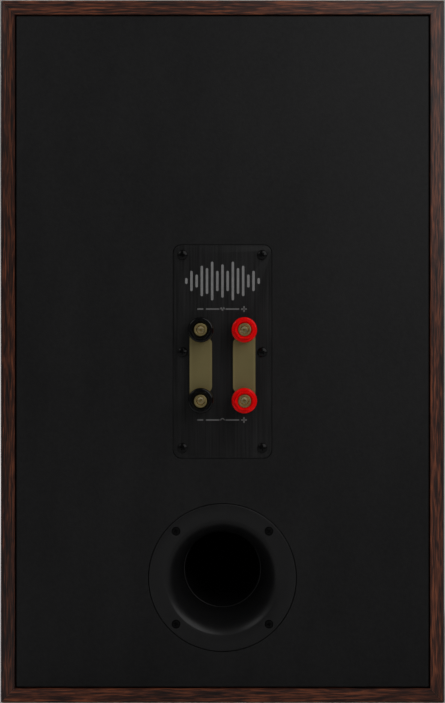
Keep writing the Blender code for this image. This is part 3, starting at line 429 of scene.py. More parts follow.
MOTTLED = {  # dark, light, grains in a metre, roughness, bump, other sockets
    "raw_board": ((0.22, 0.15, 0.085), (0.36, 0.26, 0.15), 900, (0.8, 0.95), 0.3),
    "port_plastic": (grey(0.0062, 0.0003), grey(0.0092, 0.0003), 2200, (0.30, 0.38), 0.06, dull(0.24)),
    "screw_black": (grey(0.0008, 0.0002), grey(0.0020, 0.0002), 1500, (0.16, 0.25), 0.05, dull(0.16)),
    "port_screw_black": (grey(0.0004, 0.0001), grey(0.0012, 0.0001), 1500, (0.40, 0.55), 0.05, dull(0.1)),
    "gold_plate": ((0.34, 0.27, 0.12), (0.44, 0.35, 0.16), 700, (0.26, 0.38), 0.05, METAL),
    "knob_black": (grey(0.0006, 0.0003), grey(0.0014, 0.0004), 500, (0.07, 0.11), 0.01, dull(0.24)),
    "knob_red": ((0.90, 0.0005, 0.0014), (0.98, 0.0010, 0.0022), 500, (0.12, 0.20), 0.01, dull(0.18)),
    "print_grey": (grey(0.11), grey(0.17), 2500, (0.5, 0.7), 0.03),
    "ornament_grey": (grey(0.18), grey(0.27), 2500, (0.5, 0.7), 0.03),
    "surround_rubber": (grey(0.008), grey(0.012), 900, (0.42, 0.55), 0.05),
    "ferrite": (grey(0.020, 0.002), grey(0.045, 0.003), 1600, (0.6, 0.8), 0.25),
    "motor_steel": ((0.36, 0.36, 0.35), (0.52, 0.52, 0.50), 400, (0.28, 0.42), 0.1, METAL),
    "damping_foam": (grey(0.035, 0.005), grey(0.13, 0.01), 650, (0.9, 1.0), 0.9, {}, 2.0),
    "circuit_board": ((0.010, 0.060, 0.020), (0.025, 0.120, 0.042), 160, (0.35, 0.5), 0.1),
    "capacitor_film": ((0.42, 0.32, 0.02), (0.58, 0.46, 0.05), (40, 900, 900), (0.25, 0.4), 0.05),
    "ceramic": ((0.50, 0.48, 0.43), (0.68, 0.66, 0.61), 1200, (0.65, 0.85), 0.25),
}
LOOKS = {name: look(name, *row) for name, row in MOTTLED.items()}
for slot, name, *row in (
    ("driver_frame_black", "driver_frame", grey(0.012, 0.001), grey(0.020, 0.001), 2600, (0.45, 0.6), 0.2),
    ("cone_black", "cone_paper", grey(0.010, 0.001), grey(0.022, 0.001), 1100, (0.55, 0.75), 0.35),
):
    LOOKS[slot] = look(name, *row)
# Painted light and shade: the side board at -X, towards the key light, gets a lighter copy of the veneer and
# the one at +X a darker copy.
LOOKS["walnut_left"] = walnut("left", "Z", 1.08, painted_edge_shade=True)
LOOKS["walnut_right"] = walnut("right", "Z", 0.78, painted_edge_shade=True)
LOOKS["walnut_level"] = walnut("level", "X", 1.12)
LOOKS["black_vinyl"] = vinyl()
LOOKS["terminal_plate_black"] = terminal_plate()
LOOKS["strap_gold"] = strap_gold()
LOOKS["core_gold"] = core_gold()
for kind, name, *row in (
    (woven, "spider_cloth", (0.28, 0.17, 0.05), (0.55, 0.36, 0.12), 9000, (0.8, 0.95), 0.4, 0.2),
    (woven, "dome_silk", grey(0.008, 0.002), grey(0.026, 0.004), 14000, (0.5, 0.65), 0.3, 0.15),
    (wound, "coil_former", (0.55, 0.42, 0.30), (0.80, 0.70, 0.58), 16000, (0.3, 0.45)),
    (wound, "copper_winding", (0.36, 0.12, 0.05), (0.72, 0.33, 0.17), 7500, (0.25, 0.4)),
):
    LOOKS[name] = kind(name, *row)

# ---------------------------------------------------------------- shape tools


def put(name, mesh, slot, body, nodes=(), record_slot=None, angle=35, flat=False):
    """A mesh as a piece: its material, its body and the CAD nodes that it stands for. record_slot is not
    used.
    """
    piece = bpy.data.objects.new(name, mesh)
    looks.objects.link(piece)
    return dress(piece, slot, body, nodes, record_slot, angle, flat)


def dress(piece, slot, body, nodes=(), record_slot=None, angle=35, flat=False):
    """Gives a finished object its material, body and shading."""
    mesh = piece.data
    mesh.materials.clear()
    mesh.materials.append(LOOKS[slot])
    if not flat:
        mesh.shade_smooth()
        mesh.set_sharp_from_angle(angle=math.radians(angle))
    if body:
        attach(piece, body)
    if nodes:
        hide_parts(*nodes)
    record_slot or slot
    return piece


def mesh_from(shape, name):
    """A bmesh made into a mesh, its faces pointing out."""
    bmesh.ops.recalc_face_normals(shape, faces=shape.faces)
    mesh = bpy.data.meshes.new(name)
    shape.to_mesh(mesh)
    shape.free()
    return mesh


def fillet(corners, closed=True, steps=4):
    """An outline from corners (a, b) or (a, b, radius). A corner with a radius is rounded."""
    line = []
    last = len(corners) - 1
    for k, corner in enumerate(corners):
        here = Vector(corner[:2])
        radius = corner[2] if len(corner) > 2 else 0
        if not radius or (not closed and k in (0, last)):
            line.append((here.x, here.y))
            continue
        before = (Vector(corners[k - 1][:2]) - here).normalized()
        after = (Vector(corners[(k + 1) % len(corners)][:2]) - here).normalized()
        half = before.angle(after) / 2
        centre = here + (before + after).normalized() * (radius / math.sin(half))
        start = here + before * (radius / math.tan(half)) - centre
        end = here + after * (radius / math.tan(half)) - centre
        first = math.atan2(start.y, start.x)
        sweep = (math.atan2(end.y, end.x) - first + math.pi) % (2 * math.pi) - math.pi
        for s in range(steps + 1):
            turn = first + sweep * s / steps
            line.append((centre.x + radius * math.cos(turn), centre.y + radius * math.sin(turn)))
    return line


def lathe(name, profile, centre, face_y, out, steps=96, closed=True, start=0.0, sweep=2 * math.pi):
    """A mesh of (radius, height) points turned about a line along Y.

    Heights run outwards from face_y: out is +1 at the back and -1 at the front.
    """
    shape = bmesh.new()
    full = sweep > 2 * math.pi - 0.001
    count = steps if full else steps + 1
    rings = []
    for radius, height in profile:
        y = face_y + out * height
        if radius == 0:
            rings.append([shape.verts.new((centre.x, y, centre.z))] * count)
            continue
        turns = [start + sweep * k / steps for k in range(count)]
        places = [(centre.x + radius * math.cos(t), y, centre.z + radius * math.sin(t)) for t in turns]
        rings.append([shape.verts.new(place) for place in places])
    pairs = list(zip(rings, rings[1:]))
    if closed:
        pairs.append((rings[-1], rings[0]))
    for lower, upper in pairs:
        for k in range(count if full else count - 1):
            after = (k + 1) % count
            corners = []
            for vert in (lower[k], lower[after], upper[after], upper[k]):
                if vert not in corners:
                    corners.append(vert)
            if len(corners) > 2:
                shape.faces.new(corners)
    if not full:
        shape.faces.new([ring[0] for ring in rings])
        shape.faces.new([ring[-1] for ring in rings])
    return mesh_from(shape, name)


def turned(name, profile, centre, out, steps, slot, body, node, angle=35, closed=True, record_slot=None):
    """A lathed piece for one CAD node. Its heights run outwards from the back or the front panel."""
    mesh = lathe(name, profile, centre, REAR_Y if out > 0 else FRONT_Y, out, steps, closed)
    return put(name, mesh, slot, body, (node,), record_slot, angle)


def prism(name, outline, y_low, y_high, edge=0.0, edge_steps=2):
    """An outline in X and Z drawn out along Y. edge rounds the rim of its face at y_high."""
    shape = bmesh.new()
    low = [shape.verts.new((x, y_low, z)) for x, z in outline]
    high = [shape.verts.new((x, y_high, z)) for x, z in outline]
    count = len(outline)
    for k in range(count):
        after = (k + 1) % count
        shape.faces.new((low[k], low[after], high[after], high[k]))
    shape.faces.new(low)
    cap = shape.faces.new(high)
    if edge:
        rim = list(cap.edges)
        bmesh.ops.bevel(shape, geom=rim, offset=edge, segments=edge_steps, profile=0.5, affect="EDGES")
    return mesh_from(shape, name)


def block(name, low, high, edge=0.0, edge_steps=3):
    """A box between two corners with rounded edges."""
    shape = bmesh.new()
    bmesh.ops.create_cube(shape, size=1.0)
    size = Vector(high) - Vector(low)
    bmesh.ops.scale(shape, vec=size, verts=shape.verts)
    bmesh.ops.translate(shape, vec=(Vector(low) + Vector(high)) / 2, verts=shape.verts)
    if edge:
        edges = list(shape.edges)
        bmesh.ops.bevel(shape, geom=edges, offset=edge, segments=edge_steps, profile=0.5, affect="EDGES")
    return mesh_from(shape, name)


def frustum(name, low_size, high_size, y_low, y_high, centre):
    """A block whose two ends along Y have different sizes (x, z)."""
    shape = bmesh.new()
    rings = []
    for (width, height), y in ((low_size, y_low), (high_size, y_high)):
        ring = []
        for a, b in ((-1, -1), (1, -1), (1, 1), (-1, 1)):
            ring.append(shape.verts.new((centre.x + a * width / 2, y, centre.z + b * height / 2)))
        rings.append(ring)
    low, high = rings
    for k in range(4):
        after = (k + 1) % 4
        shape.faces.new((low[k], low[after], high[after], high[k]))
    shape.faces.new(low)
    shape.faces.new(high)
    return mesh_from(shape, name)


def carved(mesh, tools, operation="DIFFERENCE"):
    """The mesh with every tool mesh cut from it, joined to it or kept in common with it."""
    piece = bpy.data.objects.new("blank", mesh)
    bpy.context.scene.collection.objects.link(piece)
    used = []
    for number, tool in enumerate(tools):
        cutter = bpy.data.objects.new(f"tool_{number}", tool)
        bpy.context.scene.collection.objects.link(cutter)
        cutter.hide_render = True
        step = piece.modifiers.new(f"cut_{number}", "BOOLEAN")
        step.operation = operation
        step.solver = "EXACT"
        step.object = cutter
        used.append(cutter)
    bpy.context.view_layer.update()
    graph = bpy.context.evaluated_depsgraph_get()
    result = bpy.data.meshes.new_from_object(piece.evaluated_get(graph))
    result.name = mesh.name + "_carved"
    for thing in (piece, *used):
        bpy.data.objects.remove(thing)
    return result


def ring_places(centre, radius, count=4):
    """Places on a circle about a line along Y, the first at half a step."""
    turns = [2 * math.pi * (k + 0.5) / count for k in range(count)]
    x, y, z = centre
    return [Vector((x + radius * math.cos(t), y, z + radius * math.sin(t))) for t in turns]


def bores(places, profile, face_y, out, steps=32):
    """Cutters for round holes: a (radius, height) profile from the axis and back to it, at each place."""
    return [lathe("bore", profile, place, face_y, out, steps, closed=False) for place in places]


# ---------------------------------------------------------------- cabinet

HALF = CAD_HIGH.x
TOP = CAD_HIGH.z
BOARD = 0.015
RIM = 0.0075
RIM_LIP = 0.0003
MITRE_GAP = 0.00003
EDGE_BREAK = 0.00012
RECESS_FLOOR = -0.0030
PORT_HOLE = 0.0318
PLATE_GAP = 0.0005
PLATE_CORNER = 0.0043
PLATE_CUTOUT = (0.036, 0.096, 0.003)  # width, height and corner radius
PAST = 0.004  # how far cutters reach past a face


def add_boards():
    """Four mitred boards cut from one rounded block, with rebates for the two panels."""
    spare = 0.001
    past_lip = 0.005
    inner, far = HALF - BOARD, HALF + spare
    long, short = far - MITRE_GAP, inner - MITRE_GAP
    low, high = MITRE_GAP - spare, TOP + spare - MITRE_GAP
    floor, ceiling = BOARD + MITRE_GAP, TOP - BOARD - MITRE_GAP
    outlines = {
        "top_panel": ((-long, TOP + spare), (-short, TOP - BOARD), (short, TOP - BOARD), (long, TOP + spare)),
        "bottom_panel": ((-long, -spare), (long, -spare), (short, BOARD), (-short, BOARD)),
        "left_side_panel": ((-far, low), (-inner, floor), (-inner, ceiling), (-far, high)),
        "right_side_panel": ((far, low), (far, high), (inner, ceiling), (inner, floor)),
    }
    # The side boards take the painted lit and shaded copies of the veneer.
    leaves = {"left_side_panel": "walnut_left", "right_side_panel": "walnut_right"}
    centre = Vector((0, 0, TOP / 2))
    opening = (2 * (HALF - RIM), TOP - 2 * RIM)
    wide = [size + 2 * RIM_LIP + 2 * past_lip for size in opening]
    floors = ((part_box("front_baffle")[1].y + CLEARANCE, -1), (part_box("rear_panel")[0].y - CLEARANCE, 1))
    for name, outline in outlines.items():
        tools = []
        for floor_y, side in floors:
            span = sorted((floor_y, side * (RIM_Y + 2 * past_lip)))
            tools.append(frustum("rebate", opening, opening, *span, centre))
            ends = [(side * (RIM_Y - RIM_LIP), opening), (side * (RIM_Y + past_lip), wide)]
            (first, first_size), (last, last_size) = sorted(ends, key=lambda end: end[0])
            tools.append(frustum("lip", first_size, last_size, first, last, centre))
        body = block("outside", (-HALF, -RIM_Y, 0), (HALF, RIM_Y, TOP), 0.0006, 4)
        mesh = carved(prism(name, outline, -RIM_Y - spare, RIM_Y + spare), [body], "INTERSECT")
        leaf = leaves.get(name, "walnut_level")
        put(name + "_veneered", carved(mesh, tools), leaf, "cabinet", (name,), "walnut_veneer", 25)


def rounded_rectangle(centre, width, height, radius, steps=8):
    """An outline about a centre with round corners."""
    signs = ((1, -1), (1, 1), (-1, 1), (-1, -1))
    corners = [(centre.x + a * width / 2, centre.z + b * height / 2, radius) for a, b in signs]
    return fillet(corners, steps=steps)


def add_rear_panel():
    """The vinyl-covered rear panel with the port's recess and the terminal plate's pocket."""
    low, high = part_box("rear_panel")
    port_low, port_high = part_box("port_flange")
    recess = (port_high.x - port_low.x) / 2 + 0.00025
    port_cut = [(0, PAST), (recess + PAST, PAST), (recess + EDGE_BREAK, 0.0), (recess, -EDGE_BREAK)]
    port_cut += [(recess, RECESS_FLOOR), (PORT_HOLE, RECESS_FLOOR), (PORT_HOLE, -0.020), (0, -0.020)]
    tools = [lathe("port_cut", port_cut, PORT, REAR_Y, 1, 160, closed=False)]
    width, height = PLATE_HIGH.x - PLATE_LOW.x + PLATE_GAP, PLATE_HIGH.z - PLATE_LOW.z + PLATE_GAP
    pocket = rounded_rectangle(PLATE, width, height, PLATE_CORNER + 0.0003)
    tools.append(prism("pocket", pocket, REAR_Y + RECESS_FLOOR, REAR_Y + PAST))
    tools.append(prism("cutout", rounded_rectangle(PLATE, *PLATE_CUTOUT), low.y - PAST, REAR_Y - 0.001))
    mesh = carved(block("rear_panel_foil", low, high, 0.0007, 4), tools)
    put("rear_panel_foil", mesh, "black_vinyl", "cabinet", ("rear_panel",), angle=28)


def add_baffle():
    """The front baffle with stepped holes for both drivers."""
    low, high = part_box("front_baffle")
    tools = []
    for name, centre, flange, floor, hole in (  # the recess's radius and depth, and the hole's radius
        ("woofer_hole", WOOFER, 0.0923, -0.0050, 0.082),
        ("tweeter_hole", TWEETER, 0.0523, -0.0053, 0.038),
    ):
        profile = [(0, PAST), (flange + PAST, PAST), (flange + EDGE_BREAK, 0), (flange, -EDGE_BREAK)]
        profile += [(flange, floor), (hole, floor), (hole, -0.025), (0, -0.025)]
        tools.append(lathe(name, profile, centre, FRONT_Y, -1, 160, closed=False))
    mesh = carved(block("front_baffle_foil", low, high, 0.0015, 5), tools)
    put("front_baffle_foil", mesh, "black_vinyl", "cabinet", ("front_baffle",), angle=28)


# ---------------------------------------------------------------- port

PORT_MOUTH = 0.0313
PORT_THROAT = 0.02165
PORT_TUBE = 0.0213
FLARE_DEPTH = 0.031
LIP_RADIUS = 0.0098
LIP_START = math.radians(25)  # how steeply the lip leaves the flat flange
LIP_END = math.radians(50)  # and how steep it is where the long curve to the throat takes over
PORT_WALL = 0.00235
FLANGE_THICKNESS = 0.0027
SOCKET_DEPTH = 0.008  # how far the flare's end stands in the tube's socket
SOCKET_WALL = 0.0018


def flare_line(lip_steps=10, steps=22):
    """(radius, depth) points into the port: a round lip, then part of an ellipse to the throat."""
    line = []
    for k in range(lip_steps):
        turn = LIP_START + (LIP_END - LIP_START) * k / lip_steps
        inwards = LIP_RADIUS * (math.sin(turn) - math.sin(LIP_START))
        line.append((PORT_MOUTH - inwards, LIP_RADIUS * (math.cos(LIP_START) - math.cos(turn))))
    inwards = LIP_RADIUS * (math.sin(LIP_END) - math.sin(LIP_START))
    lip_depth = LIP_RADIUS * (math.cos(LIP_START) - math.cos(LIP_END))
    narrowing = PORT_MOUTH - inwards - PORT_THROAT
    slope = math.tan(LIP_END) * narrowing / (FLARE_DEPTH - lip_depth)
    first = math.asin(slope / (1 - slope))
    wide = narrowing / (1 - math.sin(first))
    deep = (FLARE_DEPTH - lip_depth) / math.cos(first)
    for k in range(steps + 1):
        turn = first + (math.pi / 2 - first) * k / steps
        depth = lip_depth + deep * (math.cos(first) - math.cos(turn))
        line.append((PORT_THROAT + wide * (1 - math.sin(turn)), depth))
    return line


def radius_at(line, depth):
    """The radius at a depth on a line of (radius, depth) points."""
    for (upper, start), (lower, end) in zip(line, line[1:]):
        if depth <= end:
            return upper + (lower - upper) * (depth - start) / (end - start)
    return line[-1][0]


def add_port():
    """The moulded flange with its flare, and the tube behind it."""
    radius = (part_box("port_flange")[1].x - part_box("port_flange")[0].x) / 2
    flare = flare_line()
    bore = [(inside, -depth) for inside, depth in flare]
    outer = [(inside + PORT_WALL, -depth) for inside, depth in flare if depth > 2 * FLANGE_THICKNESS]
    rim = fillet([(PORT_MOUTH, 0), (radius, 0, 0.0005), (radius, -FLANGE_THICKNESS)], closed=False)[1:]
    start = (radius_at(flare, FLANGE_THICKNESS) + PORT_WALL, -FLANGE_THICKNESS)
    profile = [*rim, start, *outer, *reversed(bore)]
    seat, top, wide, narrow = -SCREW_SEAT, 0.002, 0.00235, 0.0016
    hole = [(0, top), (wide + 0.00005 + top, top), (wide + 0.00005, 0.0), (wide, -0.00005), (wide, seat)]
    hole += [(narrow, seat), (narrow, -0.006), (0, -0.006)]
    tools = bores(ring_places(PORT, PORT_SCREW_CIRCLE), hole, REAR_Y, 1)
    mesh = carved(lathe("port_flange_moulding", profile, PORT, REAR_Y, 1, 160), tools)
    put("port_flange_moulding", mesh, "port_plastic", "cabinet", ("port_flange",))

    top, joint = SOCKET_DEPTH - FLARE_DEPTH, -(FLARE_DEPTH + CLEARANCE)
    socket = radius_at(flare, -top) + PORT_WALL + CLEARANCE
    spigot = PORT_THROAT + PORT_WALL
    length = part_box("port_tube")[0].y - REAR_Y
    profile = fillet(
        [
            (socket + SOCKET_WALL, top, 0.0005), (socket + SOCKET_WALL, joint - 0.004, 0.001),
            (spigot, joint - 0.006, 0.001), (spigot, length, 0.0006), (PORT_TUBE, length, 0.0010),
            (PORT_TUBE, joint, 0.00015), (socket, joint), (socket, top, 0.0004),
        ]
    )
    turned("port_tube_moulding", profile, PORT, 1, 128, "port_plastic", "cabinet", "port_tube")


# ---------------------------------------------------------------- screws


def screw_mesh(name, head_radius, head_height, shank_radius, shank_length, domed):
    """A cross-head screw along local Y, outwards at +Y. Height 0 is the seat under its head."""
    crown = 0.55 if domed else 0.85
    head = [(0, head_height)]
    steps = 8
    for k in range(1, steps + 1):
        share = k / steps
        drop = head_height * (1 - crown) * share**2
        head.append((head_radius * 0.93 * share, head_height - drop))
    head += [(head_radius, head_height * crown * 0.72), (head_radius, 0.0), (shank_radius, 0.0)]
    thread = []
    pitch = 0.0009
    for k in range(int(shank_length / pitch) - 1):
        thread += [(shank_radius, -(k + 0.5) * pitch), (shank_radius * 0.78, -(k + 1.0) * pitch)]
    profile = [*head, *thread, (shank_radius * 0.5, -shank_length * 0.96), (0, -shank_length)]
    origin = Vector((0, 0, 0))
    blank = lathe(name, profile, origin, 0, 1, 32, closed=False)
    long, short, depth = 1.15 * head_radius, 0.24 * head_radius, 0.62 * head_height
    tools = []
    for size in ((long, short), (short, long)):
        floor = tuple(side * (0.5 if side == long else 0.7) for side in size)
        tools.append(frustum("slot", floor, size, head_height - depth, head_height + 0.0002, origin))
    return carved(blank, tools)


def add_screws(kind, mesh, places, seat_y, out, turns, slot="screw_black"):
    """A screw at each place, each one stopped at its own angle."""
    for number, (place, turn) in enumerate(zip(places, turns), start=1):
        node = f"{kind}_{number}"
        screw = bpy.data.objects.new(node + "_cross_head", mesh)
        spin = Matrix.Rotation(math.radians(turn), 4, "Y")
        flip = Matrix.Identity(4) if out > 0 else Matrix.Rotation(math.pi, 4, "Z")
        screw.matrix_world = Matrix.Translation((place.x, seat_y + out * CLEARANCE, place.z)) @ flip @ spin
        looks.objects.link(screw)
        dress(screw, slot, "cabinet", (node,), "screw_black", 30)


def add_all_screws():
    mesh = screw_mesh("port_screw_head", 0.00215, 0.0012, 0.0013, 0.0110, False)
    places = ring_places(PORT, PORT_SCREW_CIRCLE)
    add_screws("port_screw", mesh, places, REAR_Y - SCREW_SEAT, 1, (20, 55, 8, 70), "port_screw_black")
    mesh = screw_mesh("plate_screw_head", 0.00265, 0.0012, 0.0015, 0.0120, True)
    places = [middle(f"terminal_screw_{number}") for number in range(1, 7)]
    add_screws("terminal_screw", mesh, places, REAR_Y, 1, (12, 48, 75, 30, 60, 5))
    mesh = screw_mesh("driver_screw_head", 0.00350, 0.0022, 0.0019, 0.0130, True)
    seat = FRONT_Y + 0.0022 + CLEARANCE
    add_screws("woofer_screw", mesh, ring_places(WOOFER, WOOFER_SCREW_CIRCLE), seat, -1, (33, 71, 15, 50))
    add_screws("tweeter_screw", mesh, ring_places(TWEETER, TWEETER_SCREW_CIRCLE), seat, -1, (62, 24, 80, 41))


# ---------------------------------------------------------------- terminal plate and its marks


def add_plate():
    """The brushed plate with its screw and stud holes."""
    width, height = PLATE_HIGH.x - PLATE_LOW.x, PLATE_HIGH.z - PLATE_LOW.z
    outline = rounded_rectangle(PLATE, width, height, PLATE_CORNER)
    blank = prism("terminal_plate_brushed", outline, PLATE_LOW.y, PLATE_HIGH.y, 0.00035, 3)
    tools = []
    screws = [middle(f"terminal_screw_{number}") for number in range(1, 7)]
    for places, radius in ((screws, 0.0018), (POSTS.values(), 0.0027)):
        tools += bores(places, [(0, 0.002), (radius, 0.002), (radius, -0.006), (0, -0.006)], REAR_Y, 1)
    mesh = carved(blank, tools)
    put("terminal_plate_brushed", mesh, "terminal_plate_black", "cabinet", ("terminal_plate",), angle=28)


def stroke(shape, points, width, closed=False):
    """A printed line of a given width through (x, z) points, with round ends, a thin layer on the plate."""
    low, high = REAR_Y + 0.00001, REAR_Y + 0.00006
    half = width / 2
    left, right = [], []
    for k, point in enumerate(points):
        before, after = Vector(points[max(k - 1, 0)]), Vector(points[min(k + 1, len(points) - 1)])
        along = (after - before).normalized()
        side = Vector((-along.y, along.x)) * half
        left.append(Vector(point) + side)
        right.append(Vector(point) - side)
    ends = []
    for k, sign in ((len(points) - 1, 1), (0, -1)):
        centre = Vector(points[k])
        toward = (centre - Vector(points[k - sign])).normalized()
        first = math.atan2(toward.y, toward.x) + math.pi / 2
        turns = [first - step for step in (0.52, 1.05, 1.57, 2.09, 2.62)]
        ends.append([centre + half * Vector((math.cos(turn), math.sin(turn))) for turn in turns])
    outline = [*left, *ends[0], *reversed(right), *ends[1]]
    bottom = [shape.verts.new((p.x, low, p.y)) for p in outline]
    top = [shape.verts.new((p.x, high, p.y)) for p in outline]
    count = len(outline)
    for k in range(count):
        after = (k + 1) % count
        shape.faces.new((bottom[k], bottom[after], top[after], top[k]))
    for ring in (bottom, top):
        rim = [shape.edges.get((ring[k], ring[(k + 1) % count])) for k in range(count)]
        bmesh.ops.triangle_fill(shape, edges=rim, use_beauty=True)


def wave(centre, length, height, cycles, steps):
    """Points along a sine wave about a centre."""
    points = []
    for k in range(steps + 1):
        share = k / steps
        rise = height * math.sin(2 * math.pi * cycles * share)
        points.append((centre[0] + length * (share - 0.5), centre[1] + rise))
    return points


def add_marks():
    """Polarity signs with rules, a small wave for treble and bass, and an ornament of plain bars."""
    shape = bmesh.new()
    line = 0.00078
    end = line / 2
    plus, arm = -0.01165, 0.00165
    for z, cycles in ((0.2130, 1.5), (0.1529, 0.5)):
        stroke(shape, [(0.0137 - end, z), (0.0103 + end, z)], line)
        stroke(shape, [(plus + arm - end, z), (plus - arm + end, z)], line)
        stroke(shape, [(plus, z - arm + end), (plus, z + arm - end)], line)
        for side in (1, -1):
            stroke(shape, [(side * (0.0091 - end), z), (side * (0.0016 + end), z)], line)
        stroke(shape, wave((0, z), 0.0021, 0.0008, cycles, 16), 0.0005)
    put("terminal_plate_marks", mesh_from(shape, "terminal_plate_marks"), "print_grey", "cabinet", flat=True)

    shape = bmesh.new()
    centre_z, spacing, width = 0.2282, 0.0028, 0.0013
    heights = (0.0180, 0.0110, 0.0210, 0.0140, 0.0165, 0.0070, 0.0110, 0.0032)
    for k, height in enumerate(heights):
        reach = (height - width) / 2
        for side in (1, -1) if k else (1,):
            x = side * k * spacing
            stroke(shape, [(x, centre_z - reach), (x, centre_z + reach)], width)
    mesh = mesh_from(shape, "plate_bars_ornament")
    put("plate_bars_ornament", mesh, "ornament_grey", "cabinet", (), "print_grey", flat=True)


# ---------------------------------------------------------------- binding posts and straps


CORE_RADIUS = 0.0035
SOCKET_RADIUS = 0.0021
KNOB_BORE = 0.0036


def add_core(place):
    """The gold core: shoulder, barrel and a coned socket, with a thread where the knob runs."""
    node = "post_core_" + place
    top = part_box(node)[1].y - REAR_Y
    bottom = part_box(node)[0].y - REAR_Y
    dimple, floor = 0.00065, top - 0.0120
    socket = [
        (dimple, floor - 0.0005),
        (dimple, floor, 0.0001),
        (SOCKET_RADIUS, floor, 0.0003),
        (SOCKET_RADIUS, top - 0.0005, 0.0002),
        (SOCKET_RADIUS + 0.0005, top, 0.0001),
        (CORE_RADIUS, top, 0.0003),
        (CORE_RADIUS, top - 0.0005),
    ]
    thread = []
    for k in range(14):
        height = 0.0040 + 0.0009 * k
        thread += [(CORE_RADIUS - 0.00005, height), (0.0032, height + 0.00045)]
    shoulder, seat, stud = 0.0060, 0.0012, 0.0024
    foot = [(CORE_RADIUS, 0.0035), (CORE_RADIUS, seat, 0.0002), (shoulder, seat, 0.0002)]
    foot += [(shoulder, CLEARANCE, 0.0001), (stud, CLEARANCE)]
    profile = [(0, floor - 0.0015), *fillet(socket, closed=False), *reversed(thread)]
    profile += [*fillet(foot, closed=False), (stud, bottom + 0.0004), (0.0020, bottom), (0, bottom)]
    name = "post_barrel_" + place
    turned(name, profile, POSTS[place], 1, 64, "core_gold", "cabinet", node, 40, False, "gold_plate")


def add_washer(place):
    node = "post_washer_" + place
    low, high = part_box(node)
    bottom, top = low.y - REAR_Y, high.y - REAR_Y
    radius = (high.x - low.x) / 2
    corners = [(radius, top, 0.0003), (radius, bottom, 0.0002)]
    corners += [(KNOB_BORE, bottom, 0.0001), (KNOB_BORE, top, 0.0002)]
    name = "post_clamp_ring_" + place
    turned(name, fillet(corners), POSTS[place], 1, 96, "gold_plate", "washer_" + place, node, 40)


def add_knob(place):
    """The screw knob, as rings of points: a round skirt, then a six-sided front with a coned mouth."""
    node = "post_knob_" + place
    centre = POSTS[place]
    low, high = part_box(node)
    bottom, top = low.y - REAR_Y, high.y - REAR_Y
    skirt_top, skirt, flat, corner, mouth = bottom + 0.0062, (high.x - low.x) / 2, 0.00485, 0.00545, 0.0044
    steps = 96

    def round_ring(radius):
        return [radius] * steps

    def six_sided(inset, largest=1.0):
        """Radii round a hexagon with rounded corners, a corner upwards."""
        ring = []
        for k in range(steps):
            side = (2 * math.pi * k / steps + math.pi / 6 - math.pi / 2) % (math.pi / 3) - math.pi / 6
            ring.append(min((flat - inset) / math.cos(side), corner - inset, largest))
        return ring

    base = [(KNOB_BORE, bottom, 0.0001), (skirt, bottom, 0.0003)]
    base += [(skirt, skirt_top, 0.0009), (0.0057, skirt_top)]
    levels = [(height, round_ring(radius)) for radius, height in fillet(base, closed=False)]
    levels += [(skirt_top, six_sided(-0.00012)), (skirt_top + 0.00015, six_sided(0.0))]
    for inset, drop in ((0.0, 0.0005), (0.00004, 0.0003), (0.00015, 0.00012), (0.00032, 0.0)):
        levels.append((top - drop, six_sided(inset)))
    levels += [(top, six_sided(0.00034, mouth + 0.0001)), (top - 0.0001, six_sided(0.00042, mouth))]
    levels += [(top - 0.0012, round_ring(KNOB_BORE + 0.0001)), (top - 0.0014, round_ring(KNOB_BORE))]

    shape = bmesh.new()
    rings = []
    for height, radii in levels:
        ring = []
        for k, radius in enumerate(radii):
            turn = 2 * math.pi * k / steps
            place_x, place_z = centre.x + radius * math.cos(turn), centre.z + radius * math.sin(turn)
            ring.append(shape.verts.new((place_x, REAR_Y + height, place_z)))
        rings.append(ring)
    for lower, upper in zip(rings, [*rings[1:], rings[0]]):
        for k in range(steps):
            after = (k + 1) % steps
            shape.faces.new((lower[k], lower[after], upper[after], upper[k]))
    colour = "knob_red" if place.endswith("positive") else "knob_black"
    put("post_grip_" + place, mesh_from(shape, node + "_grip"), colour, "knob_" + place, (node,), angle=32)


def add_straps():
    """Two plated straps with hooks open towards the centre."""
    outer, slot, corner = 0.00605, 0.00385, 0.0036

    def arc(x, z, radius, start, end, steps):
        turns = [math.radians(start + (end - start) * k / steps) for k in range(steps + 1)]
        return [(x + radius * math.cos(t), z + radius * math.sin(t)) for t in turns]

    tip = arc(0, 0, outer, 0, 120, 28)
    end = [*tip, (tip[-1][0], slot), *arc(0, 0, slot, 90, -90, 32)]
    end += arc(corner - outer, -slot - corner, corner, 90, 180, 12)
    for polarity, side in (("negative", 1), ("positive", -1)):
        upper_z, lower_z = POSTS["treble_" + polarity].z, POSTS["bass_" + polarity].z
        upper = [(side * (POST_X + u), upper_z + v) for u, v in end]
        lower = [(side * (POST_X + u), lower_z - v) for u, v in reversed(end)]
        node = "jumper_strap_" + polarity
        low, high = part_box(node)
        mesh = prism(node + "_plated", [*upper, *lower], low.y, high.y, 0.00015, 2)
        put(f"jumper_strip_{polarity}", mesh, "strap_gold", "strap_" + polarity, (node,), "gold_plate", 30)


# ---------------------------------------------------------------- woofer


def thick_sheet(line, thickness):
    """A closed profile round a line of (radius, height) points that runs outwards."""
    above, below = [], []
    for k, (radius, height) in enumerate(line):
        before, after = line[max(k - 1, 0)], line[min(k + 1, len(line) - 1)]
        along = Vector((after[0] - before[0], after[1] - before[1])).normalized()
        half = thickness / 2
        above.append((max(radius - along.y * half, 0.0), height + along.x * half))
        below.append((max(radius + along.y * half, 0.0), height - along.x * half))
    return [*above, *reversed(below)]


def dome_line(radius, rise, base, steps):
    """Points over a spherical cap, from the axis to its edge."""
    sphere = (radius * radius + rise * rise) / (2 * rise)
    reach = math.asin(radius / sphere)
    turns = [reach * k / steps for k in range(steps + 1)]
    return [(sphere * math.sin(t), base + rise - sphere * (1 - math.cos(t))) for t in turns]


